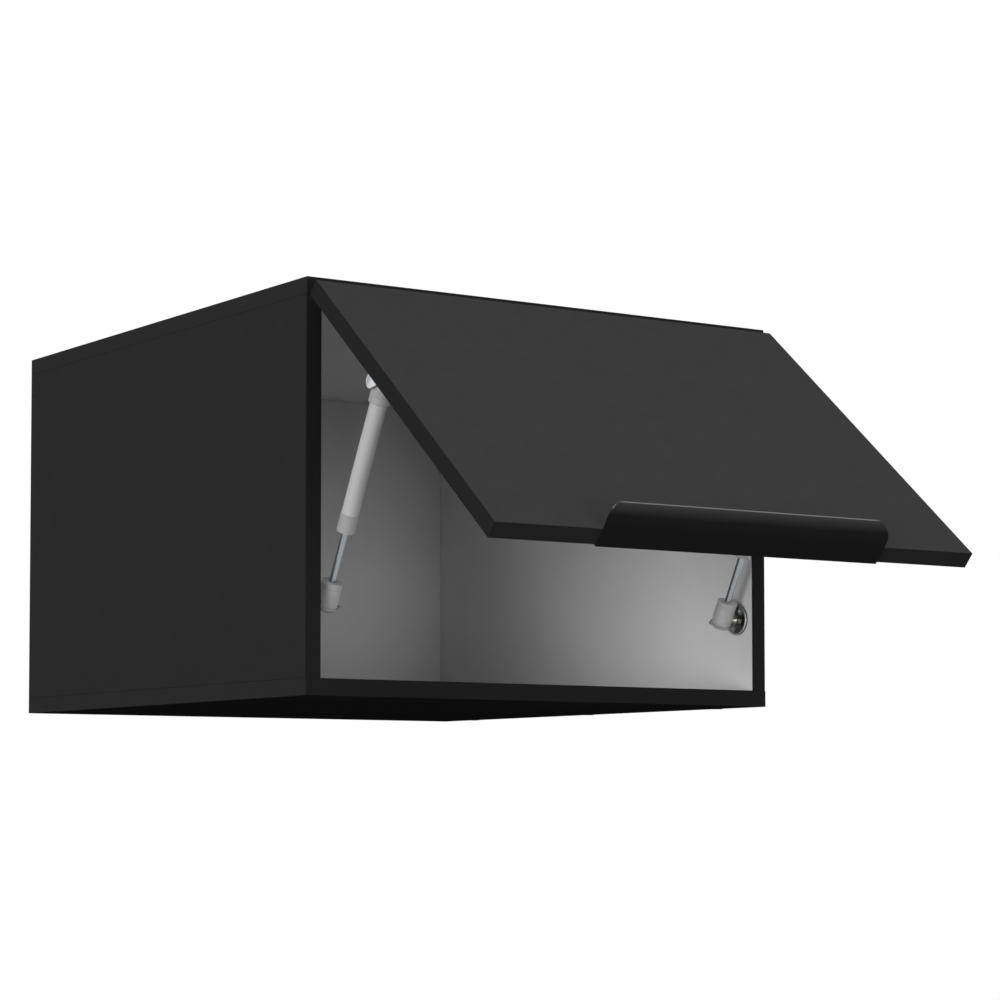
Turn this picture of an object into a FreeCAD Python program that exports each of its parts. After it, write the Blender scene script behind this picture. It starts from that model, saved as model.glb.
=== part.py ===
"""Lift up wall cabinet: a board carcass hung on a wall rail, with a top hinged flap held by gas struts.

Frame: millimetres, +Z up, +Y towards the wall, +X to the right as seen from the front. The origin is on
the wall plane, in the middle of the line of the wall rail's two screw holes. The flap is drawn shut and
then turned about its hinge line by the opening angle at which the cabinet is shown.
"""
import FreeCAD, Part
import math
import os
import re

doc = FreeCAD.newDocument("lift_up_wall_cabinet")

# ---------------------------------------------------------------------------------------------------
# Driving sizes, in millimetres and degrees
# ---------------------------------------------------------------------------------------------------
SIZES = {
    # carcass boards
    "cabinet_width": 500.0,       # outside, left to right
    "cabinet_height": 357.0,      # outside, under face to top face
    "cabinet_depth": 551.0,       # wall to the front edges, without the flap
    "board": 15.0,                # thickness of every chipboard panel
    "edge_band": 0.8,             # thickness of the edging strips
    "side_setback": 0.7,          # the side panels stand this far behind the top and bottom panels
    "top_above_rail": 38.0,       # wall rail's screw line to the cabinet's top face
    "back_sheet": 3.0,            # hardboard back
    "back_recess": 9.0,           # room behind the back for the wall rail
    "groove_depth": 8.5,          # groove that holds the back
    "groove_play": 0.1,           # clearance of the back in its groove, each side
    "back_end_gap": 0.5,          # back's edges to the bottom of their grooves
    # joints between the boards
    "confirmat_head": 5.0,        # head radius of the carcass screws
    "confirmat_head_depth": 3.5,
    "confirmat_shank": 3.5,       # thick part of the shank, radius
    "confirmat_thread": 2.5,      # threaded part, radius
    "confirmat_length": 50.0,
    "confirmat_inset": 66.0,      # outer carcass screws from the front and from the wall
    "screw_play": 0.05,           # clearance of a screw, dowel or cup in its hole, on the radius
    "cover_disc": 6.5,            # radius of the discs that hide the screw heads
    "cover_disc_thickness": 0.4,
    "dowel_radius": 4.0,
    "dowel_in_panel": 10.0,
    "dowel_in_side": 20.0,
    "dowel_inset": 171.0,         # dowels from the front and from the wall
    # hangers and wall rail
    "rail_end_gap": 3.0,          # wall rail's ends to the side panels
    "rail_sheet": 2.0,            # rail's steel
    "rail_below": 14.0,           # rail reaches this far below its screw line
    "rail_flat_above": 4.0,       # and lies flat on the wall this far above it
    "rail_lip": 10.0,             # height of the lip that the hooks hang on
    "rail_stand_off": 4.0,        # lip's distance from the wall
    "rail_hole": 3.0,             # radius of the two screw holes
    "rail_hole_inset": 52.0,      # screw holes from the rail's ends
    "hanger_width": 18.0,
    "hanger_length": 60.0,
    "hanger_height": 38.0,
    "hanger_screw_inset": 15.0,   # housing's fixing screws from its two ends
    "hook_thickness": 4.0,
    "hook_height": 6.0,
    "hook_in_housing": 42.0,      # hook's arm inside its housing
    "hook_slot_spare": 3.0,       # slot in the housing is this much longer than the arm
    "hook_tip": 2.4,
    "hook_tip_height": 7.0,
    "hook_to_wall": 1.0,
    "hook_window": 12.0,          # square window in the back for each hook
    "adjuster_length": 6.0,
    "adjuster_low": 12.5,         # depth screw below the rail's line
    "adjuster_high": 6.5,         # height screw above it
    # flap
    "flap_side_reveal": 2.0,      # flap's side edges inside the cabinet's sides
    "flap_low_reveal": 1.5,       # shut flap's bottom edge above the cabinet's under face
    "flap_reveal": 1.5,           # flap's top edge below the cabinet's top face, when shut
    "flap_gap": 2.0,              # shut flap's inner face to the front of the top panel
    "flap_angle": 49.8,           # opening at which the struts are fully extended
    "hinge_line_out": 16.0,       # hinge line in front of the shut flap's inner face
    "hinge_line_drop": 7.5,       # hinge line below the shut flap's top edge
    # concealed hinges
    "hinge_inset": 90.0,          # hinges' middle lines from the cabinet's sides
    "cup_radius": 17.5,
    "cup_depth": 11.0,
    "cup_wall": 1.5,
    "cup_drop": 21.5,             # cup's centre below the flap's top edge
    "cup_flange": 1.0,
    "cup_wing": 52.0,             # flange's length across both wings
    "cup_wing_height": 17.0,
    "cup_screw_spacing": 42.0,
    "cup_pin_depth": 4.0,         # link's far pivot below the flap's inner face
    "arm_pivot_back": 10.0,       # link's near pivot behind the cabinet's front
    "arm_pivot_down": 22.0,       # and below the top panel
    "arm_width": 15.4,
    "arm_sheet": 1.2,
    "arm_length": 56.0,
    "arm_height": 8.0,
    "pivot_pin": 1.5,             # pin radius
    "pivot_play": 0.05,
    "link_end": 3.0,              # radius of a link's rounded ends
    "link_gap": 0.3,              # side clearance between arm, links and cup boss
    "bush_radius": 2.5,           # bush that joins a link's two cheeks round its near pin
    "plate_thickness": 1.5,
    "plate_wing": 44.0,
    "plate_wing_depth": 14.0,
    "ridge_length": 45.0,         # ridge of the plate inside the arm
    "ridge_height": 3.0,
    "plate_back": 37.0,           # screw line behind the cabinet's front
    "plate_screw_spacing": 32.0,
    # gas struts
    "strut_inset": 19.0,          # strut's axis from the side panel
    "strut_foot_back": 22.0,      # lower ball behind the cabinet's front
    "strut_foot_up": 82.5,        # lower ball above the cabinet's under face
    "strut_head_drop": 104.0,     # upper ball below the flap's top edge
    "strut_head_off": 18.0,       # upper ball from the flap's inner face
    "tube_radius": 7.5,
    "tube_wall": 1.0,
    "rod_radius": 3.0,
    "rod_shown": 46.4,            # rod seen between the socket and the gland, flap open
    "gland_radius": 8.0,
    "gland_length": 16.7,
    "piston_length": 7.0,
    "piston_stand": 4.2,          # piston above the tube's lower end, strut fully extended
    "piston_play": 0.2,
    "rod_past_piston": 0.5,
    "socket_radius": 9.4,
    "socket_groove": 0.5,         # depth of the groove round the socket, and half its width
    "socket_groove_place": 12.6,  # ball's centre to the groove's middle
    "socket_length": 18.0,        # ball's centre to the end that the rod or tube enters
    "socket_end": 8.5,            # ball's centre to the closed end
    "socket_taper": 2.8,          # length of the tapered tip at the closed end
    "socket_tip_radius": 7.0,
    "thread_depth": 4.9,          # threaded end stops this far from the ball's centre
    "ball_radius": 4.0,
    "ball_play": 0.3,
    "stud_radius": 2.5,
    "clip_thickness": 0.6,
    "clip_width": 2.4,
    "clip_offset": 4.7,           # clip's middle beyond the ball's centre
    "clip_opening": 8.0,          # gap between the clip's ends
    "anchor_radius": 14.5,        # round plate on the side panel
    "anchor_thickness": 2.0,
    "anchor_screw_circle": 9.5,
    "bracket_sheet": 2.0,
    "bracket_length": 34.0,
    "bracket_width": 26.0,
    "bracket_gap": 3.0,           # bracket's ear to the socket
    "ear_radius": 6.0,            # rounded ear that carries the upper ball's stud
    "bracket_screw_in": 16.2,     # bracket's screws from the ear's inner face
    "bracket_screw_pitch": 21.8,
    # handle, small screws and bumpers
    "handle_length": 292.0,
    "handle_sheet": 1.2,
    "handle_reach": 22.5,         # lip in front of the flap's face
    "handle_flat": 2.0,           # flat part of the lip in front of the flap's face
    "handle_rise": 8.6,           # lip's free edge above its flat part
    "handle_corner": 15.0,        # rounding of the lip's two front corners
    "handle_back": 24.0,          # flange on the flap's inner face
    "handle_screw_spacing": 120.0,
    "handle_screw_up": 14.4,      # its screws above the flap's bottom edge
    "screw_radius": 1.75,
    "screw_length": 12.0,
    "screw_head": 3.5,
    "screw_head_depth": 2.0,
    "bumper_radius": 4.0,
    "bumper_thickness": 1.6,
    "bumper_inset": 7.5,          # bumper's centre from the flap's edges
}

sheet = doc.addObject("Spreadsheet::Sheet", "Sizes")
for row, (name, amount) in enumerate(SIZES.items(), start=1):
    sheet.set("A%d" % row, name)
    sheet.set("B%d" % row, str(amount))
    sheet.setAlias("B%d" % row, name)
doc.recompute()


def read(name):
    """One size, as the sheet holds it."""
    return float(getattr(sheet, name))


def formula(words):
    """Turns size names into references to the sheet's cells."""
    def cell(found):
        return ("Sizes." if found.group() in SIZES else "") + found.group()
    return re.sub(r"[a-z_]+", cell, words)


def tie(thing, **properties):
    """Ties properties to formulas of the sheet's sizes."""
    for name, words in properties.items():
        thing.setExpression(name, formula(words))
    return thing


def stand(thing, x, y, z):
    """Ties the place of an object to formulas."""
    for axis, words in (("x", x), ("y", y), ("z", z)):
        thing.setExpression("Placement.Base." + axis, formula(words))
    return thing


def box(name, length, width, height, x, y, z):
    return stand(tie(doc.addObject("Part::Box", name), Length=length, Width=width, Height=height), x, y, z)


TURNS = {
    "x": FreeCAD.Rotation(FreeCAD.Vector(0, 1, 0), 90),
    "-x": FreeCAD.Rotation(FreeCAD.Vector(0, 1, 0), -90),
    "y": FreeCAD.Rotation(FreeCAD.Vector(1, 0, 0), -90),
    "-y": FreeCAD.Rotation(FreeCAD.Vector(1, 0, 0), 90),
    "z": FreeCAD.Rotation(),
    "-z": FreeCAD.Rotation(FreeCAD.Vector(1, 0, 0), 180),
}


def rod(name, radius, length, along, x, y, z):
    """A round bar that starts at a place and runs along a direction."""
    bar = doc.addObject("Part::Cylinder", name)
    bar.Placement.Rotation = TURNS[along]
    return stand(tie(bar, Radius=radius, Height=length), x, y, z)


def cone(name, start_radius, end_radius, length, along, x, y, z):
    taper = doc.addObject("Part::Cone", name)
    taper.Placement.Rotation = TURNS[along]
    return stand(tie(taper, Radius1=start_radius, Radius2=end_radius, Height=length), x, y, z)


def ball(name, radius, x, y, z):
    """A ball whose poles point to the left and right, along the studs."""
    knob = doc.addObject("Part::Sphere", name)
    knob.Placement.Rotation = TURNS["x"]
    return stand(tie(knob, Radius=radius), x, y, z)


def fuse(name, *pieces):
    whole = doc.addObject("Part::MultiFuse", name)
    whole.Shapes = list(pieces)
    whole.Refine = True
    return whole


def cut(name, base, *tools):
    """A piece with one or more tools taken out of it."""
    result = doc.addObject("Part::Cut", name)
    result.Base = base
    result.Tool = tools[0] if len(tools) == 1 else group(name + "_tools", *tools)
    return result


def group(name, *pieces):
    together = doc.addObject("Part::Compound", name)
    together.Links = list(pieces)
    return together


PARTS = {}


def part(label, thing, placement=None):
    """Names a finished sub-part, and gives it its place."""
    thing.Label = label
    if placement is not None:
        thing.Placement = placement.multiply(thing.Placement)
    PARTS[label] = thing
    return thing


# ---------------------------------------------------------------------------------------------------
# Places that several pieces share
# ---------------------------------------------------------------------------------------------------
TOP = "top_above_rail"                                      # top face
UNDER = "(top_above_rail - cabinet_height)"                 # under face
CEILING = "(top_above_rail - board)"                        # top panel's under face
FRONT = "(-cabinet_depth)"                                  # front of the top and bottom panels
INNER = "(cabinet_width / 2 - board)"                       # inner face of a side panel, from the middle
BACK_FACE = "(-back_recess - back_sheet)"                   # front face of the back
FLAP_TOP = "(top_above_rail - flap_reveal)"                 # shut flap's top edge
FLAP_IN = "(-cabinet_depth - flap_gap)"                     # shut flap's inner face
FLAP_OUT = "(-cabinet_depth - flap_gap - board)"            # shut flap's outer face
FLAP_LOW = "(top_above_rail - cabinet_height + flap_low_reveal)"    # shut flap's bottom edge
FLAP_WIDE = "(cabinet_width - 2 * flap_side_reveal)"
FLAP_TALL = "(cabinet_height - flap_reveal - flap_low_reveal)"
SIDES = (("left", -1), ("right", 1))

front = -read("cabinet_depth")
flap_inner = front - read("flap_gap")
flap_top = read("top_above_rail") - read("flap_reveal")
hinge_line = FreeCAD.Vector(0, flap_inner - read("hinge_line_out"), flap_top - read("hinge_line_drop"))
OPEN = FreeCAD.Placement(
    FreeCAD.Vector(), FreeCAD.Rotation(FreeCAD.Vector(1, 0, 0), -read("flap_angle")), hinge_line)


def mirrored(side, words):
    """A formula for the right hand side, or its mirror image for the left."""
    return words if side > 0 else "-(%s)" % words


def box_on_side(name, side, length, width, height, x, y, z):
    """A box whose x is its inner face, counted outwards from the middle of the cabinet."""
    start = x if side > 0 else "-(%s) - (%s)" % (x, length)
    return box(name, length, width, height, start, y, z)


def wood_screw(name, along, x, y, z, head="screw_head", radius="screw_radius", length="screw_length"):
    """A countersunk chipboard screw; the place is the middle of its head's flat top."""
    shank = rod(name + "_shank", radius, length, along, x, y, z)
    taper = cone(name + "_head", head, radius, "screw_head_depth", along, x, y, z)
    return fuse(name, shank, taper)


def screw_hole(name, along, x, y, z):
    """The hole that a wood screw leaves: its own shape with a little play."""
    shank = rod(name + "_bore", "screw_radius + screw_play", "screw_length + screw_play", along, x, y, z)
    sink = cone(name + "_sink", "screw_head + screw_play", "screw_radius + screw_play",
                "screw_head_depth + screw_play", along, x, y, z)
    return fuse(name, shank, sink)


# ---------------------------------------------------------------------------------------------------
# Hanger screws, hinge plate screws and strut plate screws: where they go into the boards
# ---------------------------------------------------------------------------------------------------
HANGER_IN = "(cabinet_width / 2 - board - hanger_width)"
HANGER_FRONT = "(-back_recess - back_sheet - hanger_length)"
HANGER_LOW = "(-hanger_height / 2)"
FOOT_Y = "(strut_foot_back - cabinet_depth)"
FOOT_Z = "(top_above_rail - cabinet_height + strut_foot_up)"
ANCHOR_IN = "(cabinet_width / 2 - board - anchor_thickness)"
PLATE_Y = "(plate_back - cabinet_depth)"
PLATE_LOW = "(top_above_rail - board - plate_thickness)"
HINGES = [(where, "%d * (cabinet_width / 2 - hinge_inset)" % side) for where, side in SIDES]
HANGER_SCREWS = (HANGER_FRONT + " + hanger_screw_inset", BACK_FACE + " - hanger_screw_inset")
ANCHOR_SCREW_ANGLES = (125.0, 305.0)


def anchor_screw_places():
    """The anchor plate's screws, on a circle about the ball stud."""
    for degrees in ANCHOR_SCREW_ANGLES:
        along_y = "%s + anchor_screw_circle * cos(%g deg)" % (FOOT_Y, degrees)
        along_z = "%s + anchor_screw_circle * sin(%g deg)" % (FOOT_Z, degrees)
        yield along_y, along_z


# ---------------------------------------------------------------------------------------------------
# Carcass: two sides between a top and a bottom panel, all faced chipboard, and a grooved-in back
# ---------------------------------------------------------------------------------------------------
SIDE_FRONT = "(side_setback + edge_band - cabinet_depth)"
JOINT_SCREWS = ("-confirmat_inset", "-cabinet_depth / 2", "confirmat_inset - cabinet_depth")
JOINT_DOWELS = ("-dowel_inset", "dowel_inset - cabinet_depth")
JOINT_X = "(cabinet_width / 2 - board / 2)"
LEVELS = (("top", TOP, "-z", CEILING), ("bottom", UNDER, "z", "(top_above_rail - cabinet_height + board)"))


def groove(name, length, x, z, height):
    return box(name, length, "back_sheet + 2 * groove_play", height, x, BACK_FACE + " - groove_play", z)


def joint_tools(where, side, level, face, into, seam):
    """The holes of one corner joint: stepped screw holes from the outside and blind dowel holes."""
    x = mirrored(side, JOINT_X)
    for number, y in enumerate(JOINT_SCREWS):
        name = "hole_%s_%s_%d" % (where, level, number)
        yield rod(name + "_head", "confirmat_head + screw_play", "confirmat_head_depth", into, x, y, face)
        yield rod(name + "_shank", "confirmat_shank + screw_play", "board", into, x, y, face)
        yield rod(name + "_thread", "confirmat_thread + screw_play",
                  "confirmat_length + screw_play", into, x, y, face)
    for number, y in enumerate(JOINT_DOWELS):
        name = "socket_%s_%s_%d" % (where, level, number)
        down = "dowel_in_side" if level == "top" else "dowel_in_panel"
        yield rod(name, "dowel_radius + screw_play", "dowel_in_panel + dowel_in_side + 2 * screw_play",
                  "z", x, y, "%s - %s - screw_play" % (seam, down))


joint_holes = {}
for where, side in SIDES:
    for level, face, into, seam in LEVELS:
        joint_holes[where, level] = list(joint_tools(where, side, level, face, into, seam))

for where, side in SIDES:
    blank = box_on_side("side_blank_" + where, side, "board", "cabinet_depth - side_setback - edge_band",
                        "cabinet_height - 2 * board", INNER, SIDE_FRONT, UNDER + " + board")
    tools = [groove("side_groove_" + where, "groove_depth", mirrored(side, INNER) + (
        "" if side > 0 else " - groove_depth"), UNDER, "cabinet_height")]
    tools += joint_holes[where, "top"] + joint_holes[where, "bottom"]
    outwards = "x" if side > 0 else "-x"
    for number, y in enumerate(HANGER_SCREWS):
        tools.append(screw_hole("hanger_hole_%s_%d" % (where, number), outwards,
                                mirrored(side, HANGER_IN + " + hanger_width"), y, "0"))
    for number, (y, z) in enumerate(anchor_screw_places()):
        tools.append(screw_hole("anchor_hole_%s_%d" % (where, number), outwards,
                                mirrored(side, ANCHOR_IN), y, z))
    part("side_panel_" + where, cut("side_cut_" + where, blank, *tools))

for level, face, into, seam in LEVELS:
    low = CEILING if level == "top" else UNDER
    blank = box(level + "_blank", "cabinet_width", "cabinet_depth - edge_band", "board",
                "-cabinet_width / 2", FRONT + " + edge_band", low)
    groove_low = CEILING if level == "top" else UNDER + " + board - groove_depth"
    tools = [groove(level + "_groove", "cabinet_width - 2 * board + 2 * groove_depth",
                    "board - groove_depth - cabinet_width / 2", groove_low, "groove_depth")]
    tools += joint_holes["left", level] + joint_holes["right", level]
    if level == "top":
        for where, x in HINGES:
            for hand in (-1, 1):
                tools.append(screw_hole("plate_hole_%s_%d" % (where, hand + 1), "z",
                                        "%s + %d * plate_screw_spacing / 2" % (x, hand), PLATE_Y, PLATE_LOW))
    part(level + "_panel", cut(level + "_cut", blank, *tools))

# Edging strips glued on the front edges
strips = [box("band_" + level, "cabinet_width", "edge_band", "board", "-cabinet_width / 2", FRONT, low)
          for level, low in (("top", CEILING), ("bottom", UNDER))]
strips += [box_on_side("band_" + where, side, "board", "edge_band", "cabinet_height - 2 * board", INNER,
                       FRONT + " + side_setback", UNDER + " + board")
           for where, side in SIDES]
part("carcass_edge_bands", group("carcass_band_group", *strips))

# Hardboard back, with a window behind each hanger for its hook
SHEET_INSET = "(groove_depth - back_end_gap)"
HOOK_X = "(cabinet_width / 2 - board - hanger_width / 2)"
HOOK_LOW = "(rail_flat_above + rail_lip)"
sheet_blank = box("back_blank", "cabinet_width - 2 * board + 2 * " + SHEET_INSET, "back_sheet",
                  "cabinet_height - 2 * board + 2 * " + SHEET_INSET,
                  "board - cabinet_width / 2 - " + SHEET_INSET, BACK_FACE,
                  UNDER + " + board - " + SHEET_INSET)
windows = [box_on_side("hook_window_" + where, side, "hook_window", "back_sheet * 3", "hook_window",
                       HOOK_X + " - hook_window / 2", BACK_FACE + " - back_sheet",
                       HOOK_LOW + " + hook_height / 2 - hook_window / 2")
           for where, side in SIDES]
part("back_panel", cut("back_cut", sheet_blank, *windows))

# Carcass screws, the discs stuck over their heads, and beech dowels between them
screws = []
discs = []
dowels = []
for where, side in SIDES:
    x = mirrored(side, JOINT_X)
    for level, face, into, seam in LEVELS:
        for number, y in enumerate(JOINT_SCREWS):
            name = "confirmat_%s_%s_%d" % (where, level, number)
            screws.append(fuse(
                name,
                rod(name + "_head", "confirmat_head", "confirmat_head_depth", into, x, y, face),
                rod(name + "_shank", "confirmat_shank", "board - screw_play", into, x, y, face),
                rod(name + "_thread", "confirmat_thread", "confirmat_length", into, x, y, face)))
            disc_low = face if level == "top" else face + " - cover_disc_thickness"
            discs.append(rod("disc_%s_%s_%d" % (where, level, number), "cover_disc",
                             "cover_disc_thickness", "z", x, y, disc_low))
        for number, y in enumerate(JOINT_DOWELS):
            down = "dowel_in_side" if level == "top" else "dowel_in_panel"
            dowels.append(rod("dowel_%s_%s_%d" % (where, level, number), "dowel_radius",
                              "dowel_in_panel + dowel_in_side", "z", x, y, "%s - %s" % (seam, down)))
part("carcass_screws", group("carcass_screw_group", *screws))
part("screw_cover_discs", group("cover_disc_group", *discs))
part("beech_dowels", group("dowel_group", *dowels))

# ---------------------------------------------------------------------------------------------------
# Hangers in the two rear corners: a moulded housing, a steel hook over the wall rail, and screws
# ---------------------------------------------------------------------------------------------------
LIP_OUT = "(-rail_stand_off - rail_sheet)"
fixing_screws = []
adjusting_screws = []
for where, side in SIDES:
    shell = box_on_side("hanger_shell_" + where, side, "hanger_width", "hanger_length", "hanger_height",
                        HANGER_IN, HANGER_FRONT, HANGER_LOW)
    slot = box_on_side("hanger_slot_" + where, side, "hook_thickness + 2 * groove_play",
                       "hook_in_housing + hook_slot_spare", "hook_height + 2 * groove_play",
                       HOOK_X + " - hook_thickness / 2 - groove_play",
                       BACK_FACE + " - hook_in_housing - hook_slot_spare", HOOK_LOW + " - groove_play")
    outwards = "x" if side > 0 else "-x"
    holes = []
    for number, y in enumerate(HANGER_SCREWS):
        name = "hanger_screw_%s_%d" % (where, number)
        holes.append(rod(name + "_way", "screw_head + screw_play", "hanger_width", outwards,
                         mirrored(side, HANGER_IN), y, "0"))
        fixing_screws.append(wood_screw(name, outwards, mirrored(side, HANGER_IN + " + hanger_width"),
                                        y, "0"))
    adjusters = []
    for number, z in enumerate(("-adjuster_low", "adjuster_high")):
        name = "adjuster_%s_%d" % (where, number)
        x = mirrored(side, HOOK_X)
        adjusters.append(rod(name + "_hole", "screw_head + screw_play", "adjuster_length + screw_play",
                             "y", x, HANGER_FRONT, z))
        adjusting_screws.append(rod(name, "screw_head", "adjuster_length", "y", x, HANGER_FRONT, z))
    part("hanger_housing_" + where, cut("hanger_cut_" + where, shell, slot, *(holes + adjusters)))
    arm = box_on_side("hook_arm_" + where, side, "hook_thickness",
                      "hook_in_housing + back_sheet + back_recess - hook_to_wall", "hook_height",
                      HOOK_X + " - hook_thickness / 2", BACK_FACE + " - hook_in_housing", HOOK_LOW)
    tip = box_on_side("hook_tip_" + where, side, "hook_thickness", "hook_tip", "hook_tip_height",
                      HOOK_X + " - hook_thickness / 2", "-hook_to_wall - hook_tip",
                      HOOK_LOW + " - hook_tip_height")
    part("hanger_hook_" + where, fuse("hook_" + where, arm, tip))
part("hanger_fixing_screws", group("hanger_screw_group", *fixing_screws))
part("hanger_adjusting_screws", group("adjuster_group", *adjusting_screws))

# Wall rail: a strip screwed to the wall whose lip stands off it, so that the hooks can drop behind
RAIL_LENGTH = "(cabinet_width - 2 * board - 2 * rail_end_gap)"
RAIL_X = "(board + rail_end_gap - cabinet_width / 2)"
flat = box("rail_flat", RAIL_LENGTH, "rail_sheet", "rail_below + rail_flat_above", RAIL_X,
           "-rail_sheet", "-rail_below")
step = box("rail_step", RAIL_LENGTH, "rail_stand_off + rail_sheet", "rail_sheet", RAIL_X, LIP_OUT,
           "rail_flat_above - rail_sheet")
lip = box("rail_lip_strip", RAIL_LENGTH, "rail_sheet", "rail_lip + rail_sheet", RAIL_X, LIP_OUT,
          "rail_flat_above - rail_sheet")
rail_holes = [rod("rail_hole_" + where, "rail_hole", "rail_sheet * 3", "-y",
                  "%d * (%s / 2 - rail_hole_inset)" % (side, RAIL_LENGTH), "rail_sheet", "0")
              for where, side in SIDES]
part("wall_rail", cut("rail_cut", fuse("rail_blank", flat, step, lip), *rail_holes))

# ---------------------------------------------------------------------------------------------------
# Concealed hinges: plate and arm under the top panel, a cup in the flap, and a link between them
# ---------------------------------------------------------------------------------------------------
arm_pivot = FreeCAD.Vector(0, front + read("arm_pivot_back"),
                           read("top_above_rail") - read("board") - read("arm_pivot_down"))
half_turn = math.radians(read("flap_angle") / 2)
to_pivot = arm_pivot - hinge_line
shut_direction = math.atan2(to_pivot.z, to_pivot.y) + half_turn
cup_reach = (read("hinge_line_out") - read("cup_pin_depth")) / math.cos(shut_direction)
cup_pivot = hinge_line + FreeCAD.Vector(0, math.cos(shut_direction), math.sin(shut_direction)) * cup_reach
cup_pivot_open = OPEN.multVec(cup_pivot)
link_way = cup_pivot_open - arm_pivot
link_length = link_way.Length
LINK_PLACE = FreeCAD.Placement(
    arm_pivot, FreeCAD.Rotation(FreeCAD.Vector(0, 0, 1), FreeCAD.Vector(0, link_way.y, link_way.z)))
ARM_PIVOT_Y = "(arm_pivot_back - cabinet_depth)"
ARM_PIVOT_Z = "(top_above_rail - board - arm_pivot_down)"
ARM_TOP = "(top_above_rail - board - ridge_height)"
CUP_Z = FLAP_TOP + " - cup_drop"
LINK_OUT = "(arm_width / 2 - arm_sheet - link_gap)"
LINK_IN = "(arm_width / 2 - 2 * arm_sheet - link_gap)"
BOSS_HALF = "(arm_width / 2 - 2 * arm_sheet - 2 * link_gap)"


def pin_between(name, radius, half, x, y, z):
    """A pin across a hinge, centred on it."""
    return rod(name, radius, "2 * (%s)" % half, "x", "%s - (%s)" % (x, half), y, z)


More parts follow.
